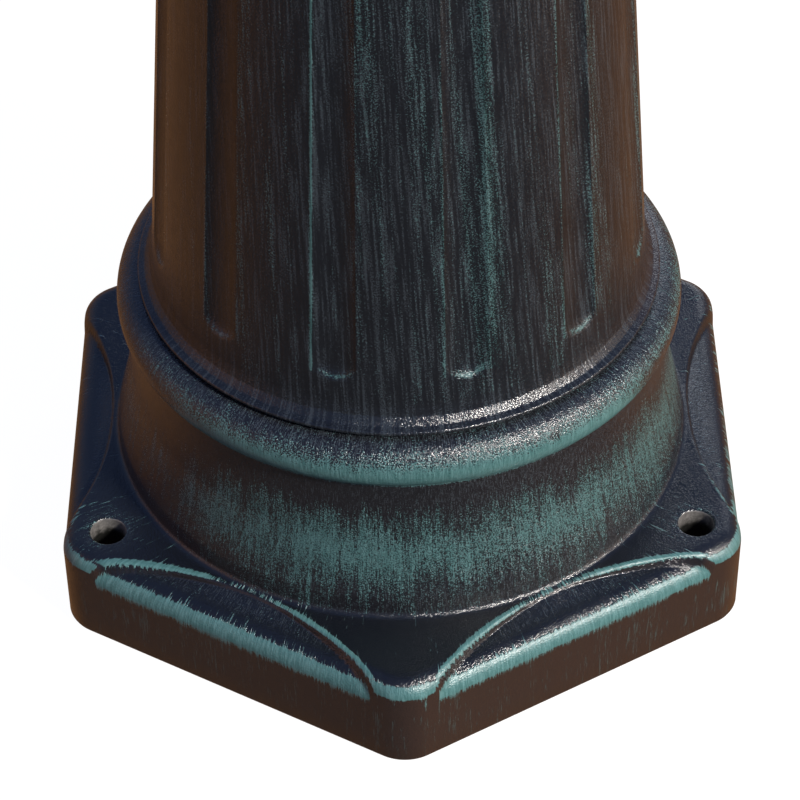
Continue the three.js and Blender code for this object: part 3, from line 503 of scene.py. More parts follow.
def base_paint(points):
    """Rubbed paint and its finish on the rims, the arcs' edges, the ring, the bell and the wall."""
    x, y, z = points[..., 0], points[..., 1], points[..., 2]
    reach = np.hypot(x, y)
    angle = np.arctan2(y, x)
    rub = np.interp(np.degrees(angle) % 360, RUB_AZIMUTHS, RUB_SHARES)
    lateral = np.abs(np.cos(angle))
    outer = hex_radius(angle, BASE_APOTHEM, BASE_CORNER)
    inset = (outer - reach) * np.cos(np.radians(off_middle(angle)))
    to_arc = scallop_distance(x, y)
    _, tangent = side_frame(x, y)
    top = DECK_TOP - lowered(x, y)
    segment = smoothstep(STEP_WIDTH - 0.2, STEP_WIDTH + 0.3, -to_arc)
    riser = smoothstep(0.7, 1.2, -to_arc) * (1 - segment)

    # solid along a segment's rim, running out in strokes over the segment
    rim_start = SEGMENT_TOP - RIM_R
    rim_strokes = 0.85 * smoothstep(2.9, 1.0, inset) + 0.3 * smoothstep(8.5, 1.5, inset)
    segment_rim = smoothstep(rim_start - 0.9, rim_start + 0.9, z) * rim_strokes * rub
    # a narrower band on the outside of each corner's rim
    corner_strokes = 0.8 * smoothstep(2.3, 1.0, inset) + 0.3 * smoothstep(4.6, 1.2, inset)
    corner_rim = smoothstep(27.0, 28.4, z) * corner_strokes * rub * smoothstep(0.7, 0.2, -to_arc)
    # the raised edge of each arc, wide near the corners and fading at the middle of a side
    spread = smoothstep(4, 34, np.abs(tangent))
    # the left side, towards -X, where the verdigris changes and the bell carries painted reflection
    brown_left = smoothstep(-0.45, -0.95, np.cos(angle))
    wide = 1 + 0.9 * brown_left
    arc_strokes = 0.6 * smoothstep(1.2 * wide, 0.3 * wide, to_arc) + 0.4 * rub * smoothstep(4.5, 0, to_arc)
    lip = 0.6 + smoothstep(3, 12, inset) * (0.2 + 0.3 * smoothstep(-0.2, 0.5, np.cos(angle)))
    arc_edge = (0.45 + 0.6 * spread) * arc_strokes * smoothstep(0.25, -0.25, -to_arc - lip)
    arc_edge = arc_edge * np.maximum(rub, 0.32) * smoothstep(1.0, 2.8, inset)
    plate = np.maximum(0.15, np.maximum(corner_rim, arc_edge))
    plate = np.where(to_arc > 0, plate, plate * (1 - segment) + segment * np.maximum(0.16, segment_rim))
    plate_grain = 0.1 + 0.55 * smoothstep(4, 8, inset) * segment
    plate_tone = np.maximum(smoothstep(2.4, 0.6, inset), 0.35 * riser)
    # a scatter of dots round each anchor hole
    gaps = [np.hypot(x - hole_x, y - hole_y) for hole_x, hole_y in ANCHOR_PLACES]
    near_hole = smoothstep(15, 4, np.min(gaps, axis=0)) * (to_arc > 0) * smoothstep(1.5, 4, inset)
    plate = np.maximum(plate, 0.15 + 0.17 * near_hole)
    plate_grain = np.maximum(plate_grain, 0.75 * near_hole)

    # scratches on the wall
    wall = (z < top - RIM_R - 0.5) & (inset < 1.5) & (segment_rim < 0.1)
    plate = np.where(wall, 0.27, plate)
    plate_cover = np.where(wall, 0.2, 1.0)

    # the bell, thinly brushed round its waist
    waist = 0.26 + 0.34 * np.exp(-(((z - 55) / 15) ** 2)) - 0.2 * smoothstep(68, 78, z) - 0.16 * brown_left
    # the ring, stippled more and more towards its belly, and bare again at the sides' outer edge, which
    # painted reflection of warm ground browns
    tilt = np.degrees(np.arctan2(z - RING_Z, reach - RING_R))
    ring = 0.24 + 0.76 * np.clip((66 - tilt) / 86, 0, 1)
    outer_edge = smoothstep(0.7, 0.97, lateral) * smoothstep(30, 2, tilt)
    ring = ring * (1 - 0.85 * outer_edge) * (1 - 0.25 * brown_left)

    on_bell = (reach < BELL_FOOT_R + 0.6) & (z > DECK_TOP + 0.2)
    on_ring = (reach > 70) & (z > 82.2)
    inside = (reach < BASE_BORE + 2) | ((z < 80) & (reach < 83)) | (z <= 0.1)
    which = [inside, on_ring, on_bell]
    wear = np.select(which, [0, ring, waist], plate)
    bell_grain = 0.58 + 0.2 * smoothstep(-0.1, 0.4, np.cos(angle))
    grain = np.select(which, [0, 0.95, bell_grain], plate_grain)
    cover = np.select(which, [0, 0.95, 0.8], plate_cover)
    # painted reflection of warm ground: the bell is browned at its ±X flanks and most on its left side
    bell_tone_and_reflection = 0.1 + 0.15 * lateral + 0.7 * brown_left
    # painted reflection of warm ground, browning the ring's outer edge at the ±X sides
    ring_tone_and_reflection = 0.05 + 0.75 * outer_edge
    tone = np.select(which, [0.3, ring_tone_and_reflection, bell_tone_and_reflection], plate_tone)
    return wear, np.stack([grain, cover, tone], -1)


def surface_lengths(points):
    """Distance along each column of points."""
    steps = np.linalg.norm(np.diff(points, axis=0), axis=-1)
    return np.concatenate([np.zeros((1, points.shape[1])), np.cumsum(steps, axis=0)])


def make_base(material, bare):
    points = base_rings()
    wear, paint = base_paint(points)
    piece = build("base", points, wear, paint, surface_lengths(points), closed=True)
    boss = [(ANCHOR_BOSS - 0.8, 0), (ANCHOR_BOSS, 0.8), (ANCHOR_BOSS + 0.2, 26)]
    hole = [(ANCHOR_HOLE, -1)]
    for turn in np.radians(np.linspace(0, 90, 6)):
        out, down = ANCHOR_LIP * (1 - math.cos(turn)), ANCHOR_LIP * (1 - math.sin(turn))
        hole.append((ANCHOR_HOLE + out, DECK_TOP - down))
    hole.append((ANCHOR_HOLE + ANCHOR_LIP, DECK_TOP + 1))
    carve(
        piece,
        (cylinder_tool("boss", boss, ANCHOR_PLACES), "UNION"),
        (cylinder_tool("hole", hole, ANCHOR_PLACES), "DIFFERENCE"),
    )
    finish_piece(piece, material, "post", "patinated_casting", "base_casting")
    piece.data.materials.append(bare)
    for face in piece.data.polygons:
        for x, y in ANCHOR_PLACES:
            if math.hypot(face.center.x / MM - x, face.center.y / MM - y) < ANCHOR_HOLE + 0.1:
                face.material_index = 1
    # verdigris round the mouths of the holes
    place, wear, paint, stroke = read_attributes(piece.data)
    for x, y in ANCHOR_PLACES:
        mouth = np.abs(np.hypot(place[:, 0] / MM - x, place[:, 1] / MM - y) - ANCHOR_HOLE - ANCHOR_LIP)
        rubbed = (mouth < 0.4) & (place[:, 2] / MM > DECK_TOP - 0.5)
        wear[rubbed] = 0.3
    put_attributes(piece.data, wear, paint, stroke)


# ---- fluted column and shaft

FLUTES = 12
FLUTE_HALF_DEG = 5.05
COLUMN_FOOT_Z = 98.3
COLUMN_WALL = 5.5
COLUMN_R = 77.2
COLUMN_TAPER = 0.0755
COLUMN_HEAD_TAPER = 0.035
COLUMN_FLUTE_DEPTH = 1.7
SHAFT_WALL = 4.5
SHAFT_FLUTE_DEPTH = 1.6
GAP = 0.3

# How far each flute's lower-angle edge and its higher-angle edge are rubbed.
CRISP_EDGES = (0.3, 0.25, 0.4, 0.3, 0.2, 0.35, 0.3, 0.28, 0.66, 0.3, 0.36, 0.25)
SOFT_EDGES = (0.12, 0.2, 0.1, 0.16, 0.2, 0.12, 0.18, 0.14, 0.2, 0.22, 0.14, 0.18)


def flute_angles():
    """Column angles, closer together at the edges of the flutes."""
    pitch, half = 360 / FLUTES, FLUTE_HALF_DEG
    lobes = np.sin(np.linspace(-90, 90, 13) * math.pi / 180) * half
    edge = np.array([0.12, 0.4, 1.0])
    land = np.linspace(half + 2.2, pitch - half - 2.2, 7)
    angles = np.sort(np.concatenate([lobes, half + edge, land, pitch - half - edge]))
    return np.radians(np.concatenate([angles + pitch * (k + 0.5) for k in range(FLUTES)]))


def across_flute(angle):
    """Place across the nearest flute, from -1 at its lower-angle edge to 1 at its higher."""
    pitch = 360 / FLUTES
    return ((np.degrees(angle) % pitch) - pitch / 2) / FLUTE_HALF_DEG


def fluted(profile, rows, foot, head, depth):
    """Points and paint of a tube from a closed profile, with flutes in the given rows."""
    angle = flute_angles()
    across = across_flute(angle)[None, :]
    z = profile[:, 1:]
    half_width = math.radians(FLUTE_HALF_DEG) * profile[rows, 0].mean()
    past = np.maximum(0, np.maximum(foot + half_width - z, z - (head - half_width))) / half_width
    inside = np.clip(1 - across**2 - past**2, 0, 1) * rows[:, None]
    radius = profile[:, :1] - depth * inside**0.8
    points = polar(radius, angle, z)
    # a crisp line on one edge of a flute and a soft band on the other, of a strength that varies
    which = np.floor(np.degrees(angle % (2 * math.pi)) / (360 / FLUTES)).astype(int) % FLUTES
    crisp = np.array(CRISP_EDGES)[which] * np.exp(-(((across + 1.04) / 0.06) ** 2))
    soft = np.array(SOFT_EDGES)[which] * np.exp(-(((across - 1.1) / 0.4) ** 2))
    in_flutes = rows[:, None] & (z > foot + 2) & (z < head - 2)
    at_foot = smoothstep(foot + half_width * 0.9, foot, z)
    scoop = smoothstep(0, 0.25, inside) * smoothstep(0.75, 0.3, inside) * at_foot
    wear = 0.25 + (crisp + soft) * in_flutes + 0.5 * scoop
    return points, np.where(rows[:, None], wear, 0.0)


def flute_levels(bottom, top, foot, head, band, coarse):
    """Heights of a fluted tube's rows, closer together at the ends of the flutes."""
    return np.concatenate([
        [bottom],
        np.arange(bottom + 2, foot - 1, 4),
        np.arange(foot - 0.6, foot + band, 0.55),
        np.linspace(foot + band, head - band, max(3, round((head - foot) / coarse))),
        np.arange(head - band + 0.55, head + 0.6, 0.55),
        np.arange(head + 3, top - 0.5, 4),
        [top],
    ])


def column_radius(z):
    """COLUMN_R at a height of 100, then an even taper that eases above 300."""
    straight = COLUMN_R - COLUMN_TAPER * (np.minimum(z, 300) - 100)
    above = np.maximum(0, z - 300)
    return straight - COLUMN_TAPER * above + (COLUMN_TAPER - COLUMN_HEAD_TAPER) / 180 * above**2 / 2


def make_column(material):
    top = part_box("lower_column")[1].z / MM
    foot = outline([
        (61.4, 82.3), (61.4, COLUMN_FOOT_Z), (79.9, COLUMN_FOOT_Z, 0.5), (81.5, COLUMN_FOOT_Z + 1.1, 0.9),
        (81.4, COLUMN_FOOT_Z + 2.2, 0.7), (79.3, COLUMN_FOOT_Z + 2.9, 1.2),
        (77.5, COLUMN_FOOT_Z + 5.2, 1.8), (column_radius(107), 107),
    ], 2.0, turn=12)
    flute_foot, flute_head = 114.8, top - 22
    levels = flute_levels(108, top, flute_foot, flute_head, 8, 9)
    outside = np.stack([column_radius(levels), levels], -1)
    inner = np.array([
        (column_radius(top) - COLUMN_WALL, top), (column_radius(300) - COLUMN_WALL, 300),
        (column_radius(106) - COLUMN_WALL, 106.5), (56, 104.3), (56, 82.3),
    ])
    profile = np.concatenate([foot, outside, inner])
    rows = np.zeros(len(profile), bool)
    rows[len(foot):len(foot) + len(outside)] = True
    points, wear = fluted(profile, rows, flute_foot, flute_head, COLUMN_FLUTE_DEPTH)
    bead = np.exp(-(((profile[:, 0] - 81.75) / 0.28) ** 2)) * (np.arange(len(profile)) < len(foot))
    plain = ~rows & (profile[:, 0] > 70)
    wear = np.where(bead[:, None] > 0.05, 0.75 * bead[:, None], np.where(plain[:, None], 0.12, wear))
    lateral = np.abs(points[..., 0]) / np.hypot(points[..., 0], points[..., 1])
    # painted reflection: the flanks that face ±X are browned as if they reflected warm ground
    tone = 0.5 * smoothstep(0.84, 1.0, lateral)
    grain = np.full(tone.shape, 0.66)
    cover = 0.46 + 0.4 * np.clip(wear - 0.3, 0, 1)
    paint = np.stack([grain, cover, tone], -1)
    piece = build("column", points, wear, paint, points[..., 2] * 0.12, True, around=24, slant=0.0007)
    finish_piece(piece, material, "post", "patinated_casting", "lower_column")


def make_shaft(material):
    low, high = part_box("shaft")
    bottom, top = low.z / MM, high.z / MM
    foot, head = bottom + 26, top - 26
    low_r, high_r = 38.0, 31.0

    def radius(z):
        return low_r + (high_r - low_r) * (z - bottom) / (top - bottom)

    levels = flute_levels(bottom, top, foot, head, 4.5, 12)
    outside = np.stack([radius(levels), levels], -1)
    inner = np.array([(radius(top) - SHAFT_WALL, top), (radius(bottom) - SHAFT_WALL, bottom)])
    profile = np.concatenate([outside, inner])
    rows = np.zeros(len(profile), bool)
    rows[:len(outside)] = True
    points, wear = fluted(profile, rows, foot, head, SHAFT_FLUTE_DEPTH)
    paint = (0.6, 0.5, 0.12)
    piece = build("fluted_shaft", points, wear, paint, points[..., 2] * 0.12, True, around=14, slant=0.001)
    finish_piece(piece, material, "post", "patinated_casting", "shaft")


# ---- collars and capital

COLUMN_TOP_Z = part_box("lower_column")[1].z / MM
SHAFT_TOP_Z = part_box("shaft")[1].z / MM
UPPER_COLLAR_TOP_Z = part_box("capital")[0].z / MM
CAPITAL_TOP_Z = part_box("capital")[1].z / MM
CABLE_X = 30.0
FLOOR_SCREW_PLACES = on_circle(48.0, np.radians((30, 150, 270)))

# The body that carries a piece, and the slot of its material.
CASTING = ("post", "patinated_casting")
ROOF_CASTING = ("roof", "patinated_casting")


def make_turned(
    name, node, where, material, corners, base, columns, step=1.5, closed=True, turn=10, cuts=(), look=None
):
    """A turned piece from (radius, height, fillet) corners, with the heights from base."""
    profile = outline(shifted(corners, base), step, closed, turn)
    piece = turned(name, profile, columns, closed, **(look or {}))
    if cuts:
        carve(piece, *cuts)
    finish_piece(piece, material, *where, node)


def make_collars(material):
    lower = [
        (29, -12, 0.6), (46, -12, 0.6), (46, 0), (54, 0, 0.6), (60, 5, 2), (60, 12, 3), (52.5, 20, 1.5),
        (43, 32, 14), (40.5, 45, 4), (43.5, 50, 2.4), (41, 59.7, 1), (33.05, 59.7), (33.05, 72, 0.6),
        (29, 72, 0.6),
    ]
    make_turned("lower_moulding", "lower_collar", CASTING, material, lower, COLUMN_TOP_Z + GAP, 120)
    upper = [
        (21.5, -12, 0.5), (25.9, -12, 0.5), (25.9, 0), (33, 0, 0.6), (40, 7, 3), (40, 13, 3), (33, 24, 8),
        (31.5, 31, 4), (33, 44.7, 0.8), (25.7, 44.7), (25.7, 52, 0.5), (21.5, 52, 0.5),
    ]
    make_turned("upper_moulding", "upper_collar", CASTING, material, upper, SHAFT_TOP_Z + GAP, 108)


def make_capital(material):
    height = CAPITAL_TOP_Z - UPPER_COLLAR_TOP_Z
    plate = 10
    corners = [
        (26, 0), (31, 0, 0.8), (31, 6, 1.6), (27.5, 12, 5), (30, 38, 30), (36, 62, 30), (46, 88, 30),
        (58, 112, 5), (60, 122, 2.5), (67, 128, 1.6), (67, height, 1.2), (7, height, 0.4),
        (7, height - plate, 0.4), (54, height - plate, 3), (52, 116, 6), (31, 62, 20), (21.5, 24, 8),
        (21.5, 9), (26, 9),
    ]
    ends = (CAPITAL_TOP_Z - plate - 1, CAPITAL_TOP_Z + 1)
    cuts = (
        (cylinder_tool("cable_way", [(10, z) for z in ends], [(CABLE_X, 0)]), "DIFFERENCE"),
        (cylinder_tool("screw_ways", [(3.3, z) for z in ends], FLOOR_SCREW_PLACES, 24), "DIFFERENCE"),
    )
    size = (UPPER_COLLAR_TOP_Z, 120, 2.0)
    make_turned("flared_capital", "capital", CASTING, material, corners, *size, cuts=cuts)


# ---- roof

SEAT_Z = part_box("lantern_top_ring")[1].z / MM
EAVES_APOTHEM = 92.0
ROOF_TOP = 72.0
ROOF_CORNER = 3.0
VENT_PLACES = on_circle(23.0, np.radians((0, 60, 120, 180, 240, 300)))
LATCH_X = 99.0
STUD_HOLE = 4.6


def make_roof(material):
    corners = [
        (91, -6, 0.4), (92, -4.5, 0.8), (92, 6, 1.5), (89, 9, 1.5), (80, 15, 12), (66, 27, 20),
        (54, 41, 20), (44, 57, 16), (40, 66, 2), (40, 72, 1), (STUD_HOLE, 72), (STUD_HOLE, 67),
        (36.5, 67, 2), (41, 54, 12), (50.5, 39, 20), (62, 25.5, 20), (77.5, 12, 2), (78, 2.6, 0.5),
        (88, 2.6, 0.6), (88, -6, 0.4),
    ]
    profile = outline(corners, 2.0, closed=True, turn=12)
    angle = hex_columns(np.concatenate([np.linspace(0, 24, 9, endpoint=False), np.linspace(24, 30, 7)]))
    apothem = profile[:, :1]
    corner = np.where(apothem < 20, apothem, ROOF_CORNER)
    points = polar(hex_radius(angle[None, :], apothem, corner), angle, profile[:, 1:] + SEAT_Z)
    hip = smoothstep(26.5, 29.5, np.abs(off_middle(angle)))[None, :] * (apothem > 36) * 0.45
    wear = np.clip(0.12 + 0.5 * exposure(profile, True)[:, None] + hip, 0, 1)
    piece = build("roof", points, wear, MOULDING, surface_lengths(points), True, around=90)
    ear = block_tool("ear", (EAVES_APOTHEM - 1, -9, SEAT_Z - 6), (LATCH_X + 7, 9, SEAT_Z - 1), 3)
    latch_hole = [(3.4, SEAT_Z - 7), (3.4, SEAT_Z)]
    vent = [(5, SEAT_Z + ROOF_TOP - 8), (5, SEAT_Z + ROOF_TOP + 1)]
    carve(
        piece,
        (ear, "UNION"),
        (cylinder_tool("latch_hole", latch_hole, [(LATCH_X, 0)], 32), "DIFFERENCE"),
        (cylinder_tool("vents", vent, VENT_PLACES, 32), "DIFFERENCE"),
    )
    finish_piece(piece, material, "roof", "patinated_casting", "roof_casting")


def make_vent_cap(material):
    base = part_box("vent_cap")[0].z / MM
    corners = [
        (4.6, 0), (11, 0, 0.5), (11, 9, 2), (30, 8, 3), (46.5, 2.5, 0.4), (47, 4.5, 0.8), (38, 12, 14),
        (14, 21, 2), (14, 26, 0.8), (4.6, 26),
    ]
    make_turned("vent_hood", "vent_cap", ROOF_CASTING, material, corners, base, 96)


def make_finial(material):
    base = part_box("finial")[0].z / MM
    ball_r, ball_z = 12.5, 27
    ball = shifted(on_circle(ball_r, np.radians(np.linspace(-58, 62, 22))), ball_z)
    corners = [
        (0, 18), (4.3, 18), (4.3, 0), (13, 0, 0.6), (13, 3, 0.8), (9, 6, 1.5), (6.6, 12, 1), *ball,
        (4.6, 41, 1), (3, 50, 4), (0, 60),
    ]
    make_turned("finial_ball", "finial", ROOF_CASTING, material, corners, base, 72, 1.0, False, 12)


# ---- lamp, reflector and latch

# Settings of a turned piece with no rubbed paint.
BARE = {"finish": (0.0, 0.0, 0.0), "bias": 0, "gain": 0}


def make_reflector(material):
    corners = [
        (4.6, 40), (13, 40, 0.5), (58, 13, 1), (62, 13, 0.6), (62, 14.5, 0.6), (58.5, 14.5, 1),
        (13.5, 41.5, 0.5), (4.6, 41.5),
    ]
    size = (SEAT_Z, 108, 2.0, True, 20)
    make_turned("lamp_reflector", "reflector", ("roof", "white_enamel"), material, corners, *size, look=BARE)


def make_lampholder(material):
    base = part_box("lampholder")[0].z / MM
    corners = [
        (0, 0), (19, 0, 1), (20, 2, 0.8), (20, 16, 1.5), (22, 20, 1.5), (22, 42, 1.5), (20.5, 46, 1),
        (14.6, 46, 0.8), (14.6, 17, 0.5), (0, 17),
    ]
    cuts = ((block_tool("entry", (12, -7, base + 6), (CABLE_X + 6, 7, base + 16), 2.5), "UNION"),)
    size = (base, 84, 1.5, False, 12)
    make_turned("porcelain_holder", "lampholder", ("post", "porcelain"), material, corners, *size, cuts, BARE)


def make_bulb(glass, cap_metal):
    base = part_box("bulb_cap")[0].z / MM
    ridges, thread_pitch = [], 3.2
    for z in np.arange(8.5, 25.5, thread_pitch / 8):
        ridges.append((12.95 + 0.35 * math.cos(2 * math.pi * z / thread_pitch), z))
    corners = [
        (0, 0), (4, 0, 0.8), (5, 2, 0.8), (12.4, 6, 1), *ridges, (13.0, 26), (12, 26), (12, 10), (0, 10),
    ]
    size = (base, 72, 1.5, False, 15)
    make_turned("screw_cap", "bulb_cap", ("post", "bulb_cap_metal"), cap_metal, corners, *size, look=BARE)
    head_z, head_r = 74, 30
    head = shifted(on_circle(head_r, np.radians(np.linspace(-52, 89, 40))), head_z)
    corners = [(0, 12), (11.6, 12), (11.6, 28, 3), (14.5, 38, 10), *head, (0, head_z + head_r)]
    size = (base, 84, 1.5, False, 8)
    make_turned("bulb_envelope", "bulb_glass", ("post", "frosted_bulb"), glass, corners, *size, look=BARE)


def make_latch(material):
    corners = [
        (0, -19), (2.8, -19, 0.4), (2.8, -0.7, 0.2), (5.6, -0.7, 0.4), (6.2, 1, 0.5), (6.2, 5, 0.8),
        (4.7, 7, 1), (0, 8),
    ]
    profile = outline(shifted(corners, SEAT_Z), 1.0, turn=15)
    piece = turned("latch_turn_knob", profile, 60, closed=False, **BARE)
    crossbar = block_tool("crossbar", (-2.4, -6.5, SEAT_Z - 19), (2.4, 6.5, SEAT_Z - 15), 0.7)
    grip = block_tool("grip", (-1.6, -6.2, SEAT_Z + 5), (1.6, 6.2, SEAT_Z + 14), 1.2)
    carve(piece, (crossbar, "UNION"), (grip, "UNION"))
    piece.data.transform(Matrix.Translation((LATCH_X * MM, 0, 0)))
    finish_piece(piece, material, "latch", "stainless_steel", "latch_knob")


# ---- materials


class Nodes:
    """Short calls for a node tree."""

    def __init__(self, tree):
        self.tree = tree

    def new(self, kind, **settings):
        node = self.tree.nodes.new("ShaderNode" + kind)
        for key, value in settings.items():
            setattr(node, key, value)
        return node

    def put(self, socket, value):
        if isinstance(value, bpy.types.NodeSocket):
            self.tree.links.new(value, socket)
        else:
            socket.default_value = value

    def attribute(self, name, vector=False):
        return self.new("Attribute", attribute_name=name).outputs["Vector" if vector else "Fac"]

    def fill(self, node, *values, at=()):
        """Puts values into the node's inputs at the given places, or its first, and gives its outputs."""
        for place, value in zip(at or range(len(values)), values):
            self.put(node.inputs[place], value)
        return node.outputs

    def split(self, vector):
        return self.fill(self.new("SeparateXYZ"), vector)[:3]

    def math(self, operation, a, b=0.0):
        return self.fill(self.new("Math", operation=operation), a, b)[0]

    def total(self, first, *weighted):
        """first plus each (value, weight), where a noise value counts from its middle, 0.5."""
        for value, weight in weighted:
            centred = self.math("SUBTRACT", value, 0.5)
            first = self.math("ADD", first, self.math("MULTIPLY", centred, weight))
        return first

    def scaled(self, vector, scale):
        return self.fill(self.new("VectorMath", operation="MULTIPLY"), vector, scale)[0]

    def noise(self, vector, scale=1.0, detail=2.0, roughness=0.5, distortion=0.0):
        node = self.new("TexNoise")
        self.put(node.inputs["Vector"], vector)
        values = {"Scale": scale, "Detail": detail, "Roughness": roughness, "Distortion": distortion}
        for key, value in values.items():
            node.inputs[key].default_value = value
        return node.outputs["Fac"]

    def ramp(self, value, low, high, to_low=0.0, to_high=1.0):
        node = self.new("MapRange", interpolation_type="SMOOTHSTEP")
        return self.fill(node, value, low, high, to_low, to_high)[0]

    def blend(self, share, a, b):
        """A number between a and b."""
        return self.fill(self.new("Mix", data_type="FLOAT"), share, a, b, at=(0, 2, 3))[0]

    def mix(self, share, a, b):
        """A colour between a and b."""
        return self.fill(self.new("Mix", data_type="RGBA"), share, a, b, at=(0, 6, 7))[2]

    def bump(self, height, distance, strength=1.0):
        node = self.new("Bump")
        self.put(node.inputs["Height"], height)
        node.inputs["Distance"].default_value = distance
        self.put(node.inputs["Strength"], strength)
        return node.outputs[0]


class Surface(Nodes):
    """A material of one Principled shader."""

    def __init__(self, name):
        self.material = bpy.data.materials.new(name)
        self.material.use_nodes = True
        super().__init__(self.material.node_tree)
        self.shader = self.tree.nodes["Principled BSDF"]
        self.place = self.new("TexCoord").outputs["Object"]

    def set(self, **values):
        for key, value in values.items():
            self.put(self.shader.inputs[key.replace("_", " ")], value)


CHARCOAL = (0.0066, 0.0080, 0.0108, 1)
BROWN = (0.040, 0.0225, 0.0165, 1)
DUST = (0.100, 0.124, 0.142, 1)
TEAL = (0.052, 0.140, 0.135, 1)
TEAL_PALE = (0.105, 0.225, 0.220, 1)


def patina(name, brushed):
    """Dark cast paint, dry brushed with verdigris where hands and cloths would rub it.

    A brushed surface holds its wear, finish and stroke as attributes. On the others the rubbing
    follows the edges.
    """
    n = Surface(name)
    if brushed:
        wear = n.attribute("wear")
        grain, cover, tone = n.split(n.attribute("finish", vector=True))
        stroke = n.attribute("stroke", vector=True)
    else:
        edge = n.ramp(n.new("NewGeometry").outputs["Pointiness"], 0.5, 0.56)
        wear = n.math("ADD", n.math("MULTIPLY", edge, 0.5), 0.14)
        grain, cover, tone = (0.35, 0.8, 0.15)
        stroke = n.scaled(n.place, (1000, 1000, 1000))
    streak = n.noise(n.scaled(stroke, (2.0, 2.0, 0.13)), detail=3, roughness=0.65, distortion=0.15)
    hair = n.noise(n.scaled(stroke, (3.6, 3.6, 0.45)), detail=1)
    fleck = n.noise(n.place, 2300, detail=1)
    band = n.noise(n.scaled(stroke, (0.5, 0.5, 0.035)), detail=2)
    patch = n.noise(n.scaled(stroke, (0.06, 0.06, 0.045)), detail=2)
    drift = n.noise(n.place, 22, detail=2)
    texture = n.blend(grain, streak, fleck)
    signal = n.total(wear, (texture, 1.35), (hair, 0.35), (band, 0.6), (patch, 0.4))
    # thin paint on a stippled surface breaks up into dots, with dust in between
    dots = n.ramp(fleck, 0.38, 0.64)
    thin = n.math("MULTIPLY", grain, n.ramp(wear, 0.45, 0.85, 1.0, 0.0))
    mask = n.ramp(signal, 0.36, n.blend(thin, 0.60, 0.80))
    paint = n.math("MULTIPLY", n.math("MULTIPLY", mask, cover), n.blend(thin, 1.0, dots))
    wisps = n.ramp(n.blend(0.6, fleck, hair), 0.44, 0.68, 0.0, 0.55)
    dust = n.math("MULTIPLY", n.math("MULTIPLY", grain, grain), wisps)
    charcoal = n.mix(drift, CHARCOAL, (0.0052, 0.0060, 0.0080, 1))
    brown = n.mix(streak, BROWN, (0.026, 0.0155, 0.0120, 1))
    # tone: the wall's own brown paint, and painted reflection of warm ground on the flanks
    dark = n.mix(tone, charcoal, brown)
    teal = n.mix(n.ramp(n.total(streak, (hair, 0.5)), 0.38, 0.66), TEAL, TEAL_PALE)
    gloss = n.noise(n.place, 260, detail=2)
    grit = n.noise(n.place, 1900, detail=1.5, roughness=0.6)
    height = n.total(grit, (paint, 0.4))
    relief = n.ramp(wear, 0.5, 0.9, 0.55, 0.4)
    n.set(
        Base_Color=n.mix(paint, n.mix(dust, dark, DUST), teal),
        Roughness=n.blend(paint, n.ramp(gloss, 0.3, 0.7, 0.16, 0.25), 0.34),
        Specular_IOR_Level=0.72,
        Normal=n.bump(height, 0.00045, relief),
    )
    return n.material


def plain(name, low, high, roughness, metallic=0.0, scale=400, stretch=(1, 1, 1), bump=0.00004, **settings):
    """A finish that varies between two colours and two roughnesses with one grain."""
    n = Surface(name)
    grain = n.noise(n.scaled(n.place, stretch), scale, detail=3, roughness=0.6)
    cloud = n.noise(n.place, 30, detail=2)
    tone = n.total(grain, (cloud, 0.5))
    n.set(
        Base_Color=n.mix(tone, (*low, 1), (*high, 1)),
        Roughness=n.ramp(tone, 0.25, 0.75, *roughness),
        Metallic=metallic,
        Normal=n.bump(grain, bump, 0.6),
        **settings,
    )
    return n.material


def bore_metal():
    """Bare cast metal at the mouth of an anchor hole, and painted shade further in, black deeper down."""
    n = Surface("bare_cast_metal")
    grain = n.noise(n.place, 700, detail=3, roughness=0.6)
    height = n.math("MULTIPLY", n.split(n.place)[2], 1000.0)
    # painted shade: the colour runs from bare metal near the mouth to black deeper in the hole
    above_painted_shade = n.ramp(n.total(height, (grain, 3.0)), 26.6, 31.0)
    metal = n.mix(grain, (0.05, 0.048, 0.045, 1), (0.34, 0.32, 0.30, 1))
    n.set(
        Base_Color=n.mix(above_painted_shade, (0.008, 0.008, 0.007, 1), metal),
        Metallic=n.math("MULTIPLY", above_painted_shade, 0.35),
        Roughness=n.blend(grain, 0.3, 0.5),
        Normal=n.bump(grain, 0.0002, 0.6),
    )
    return n.material


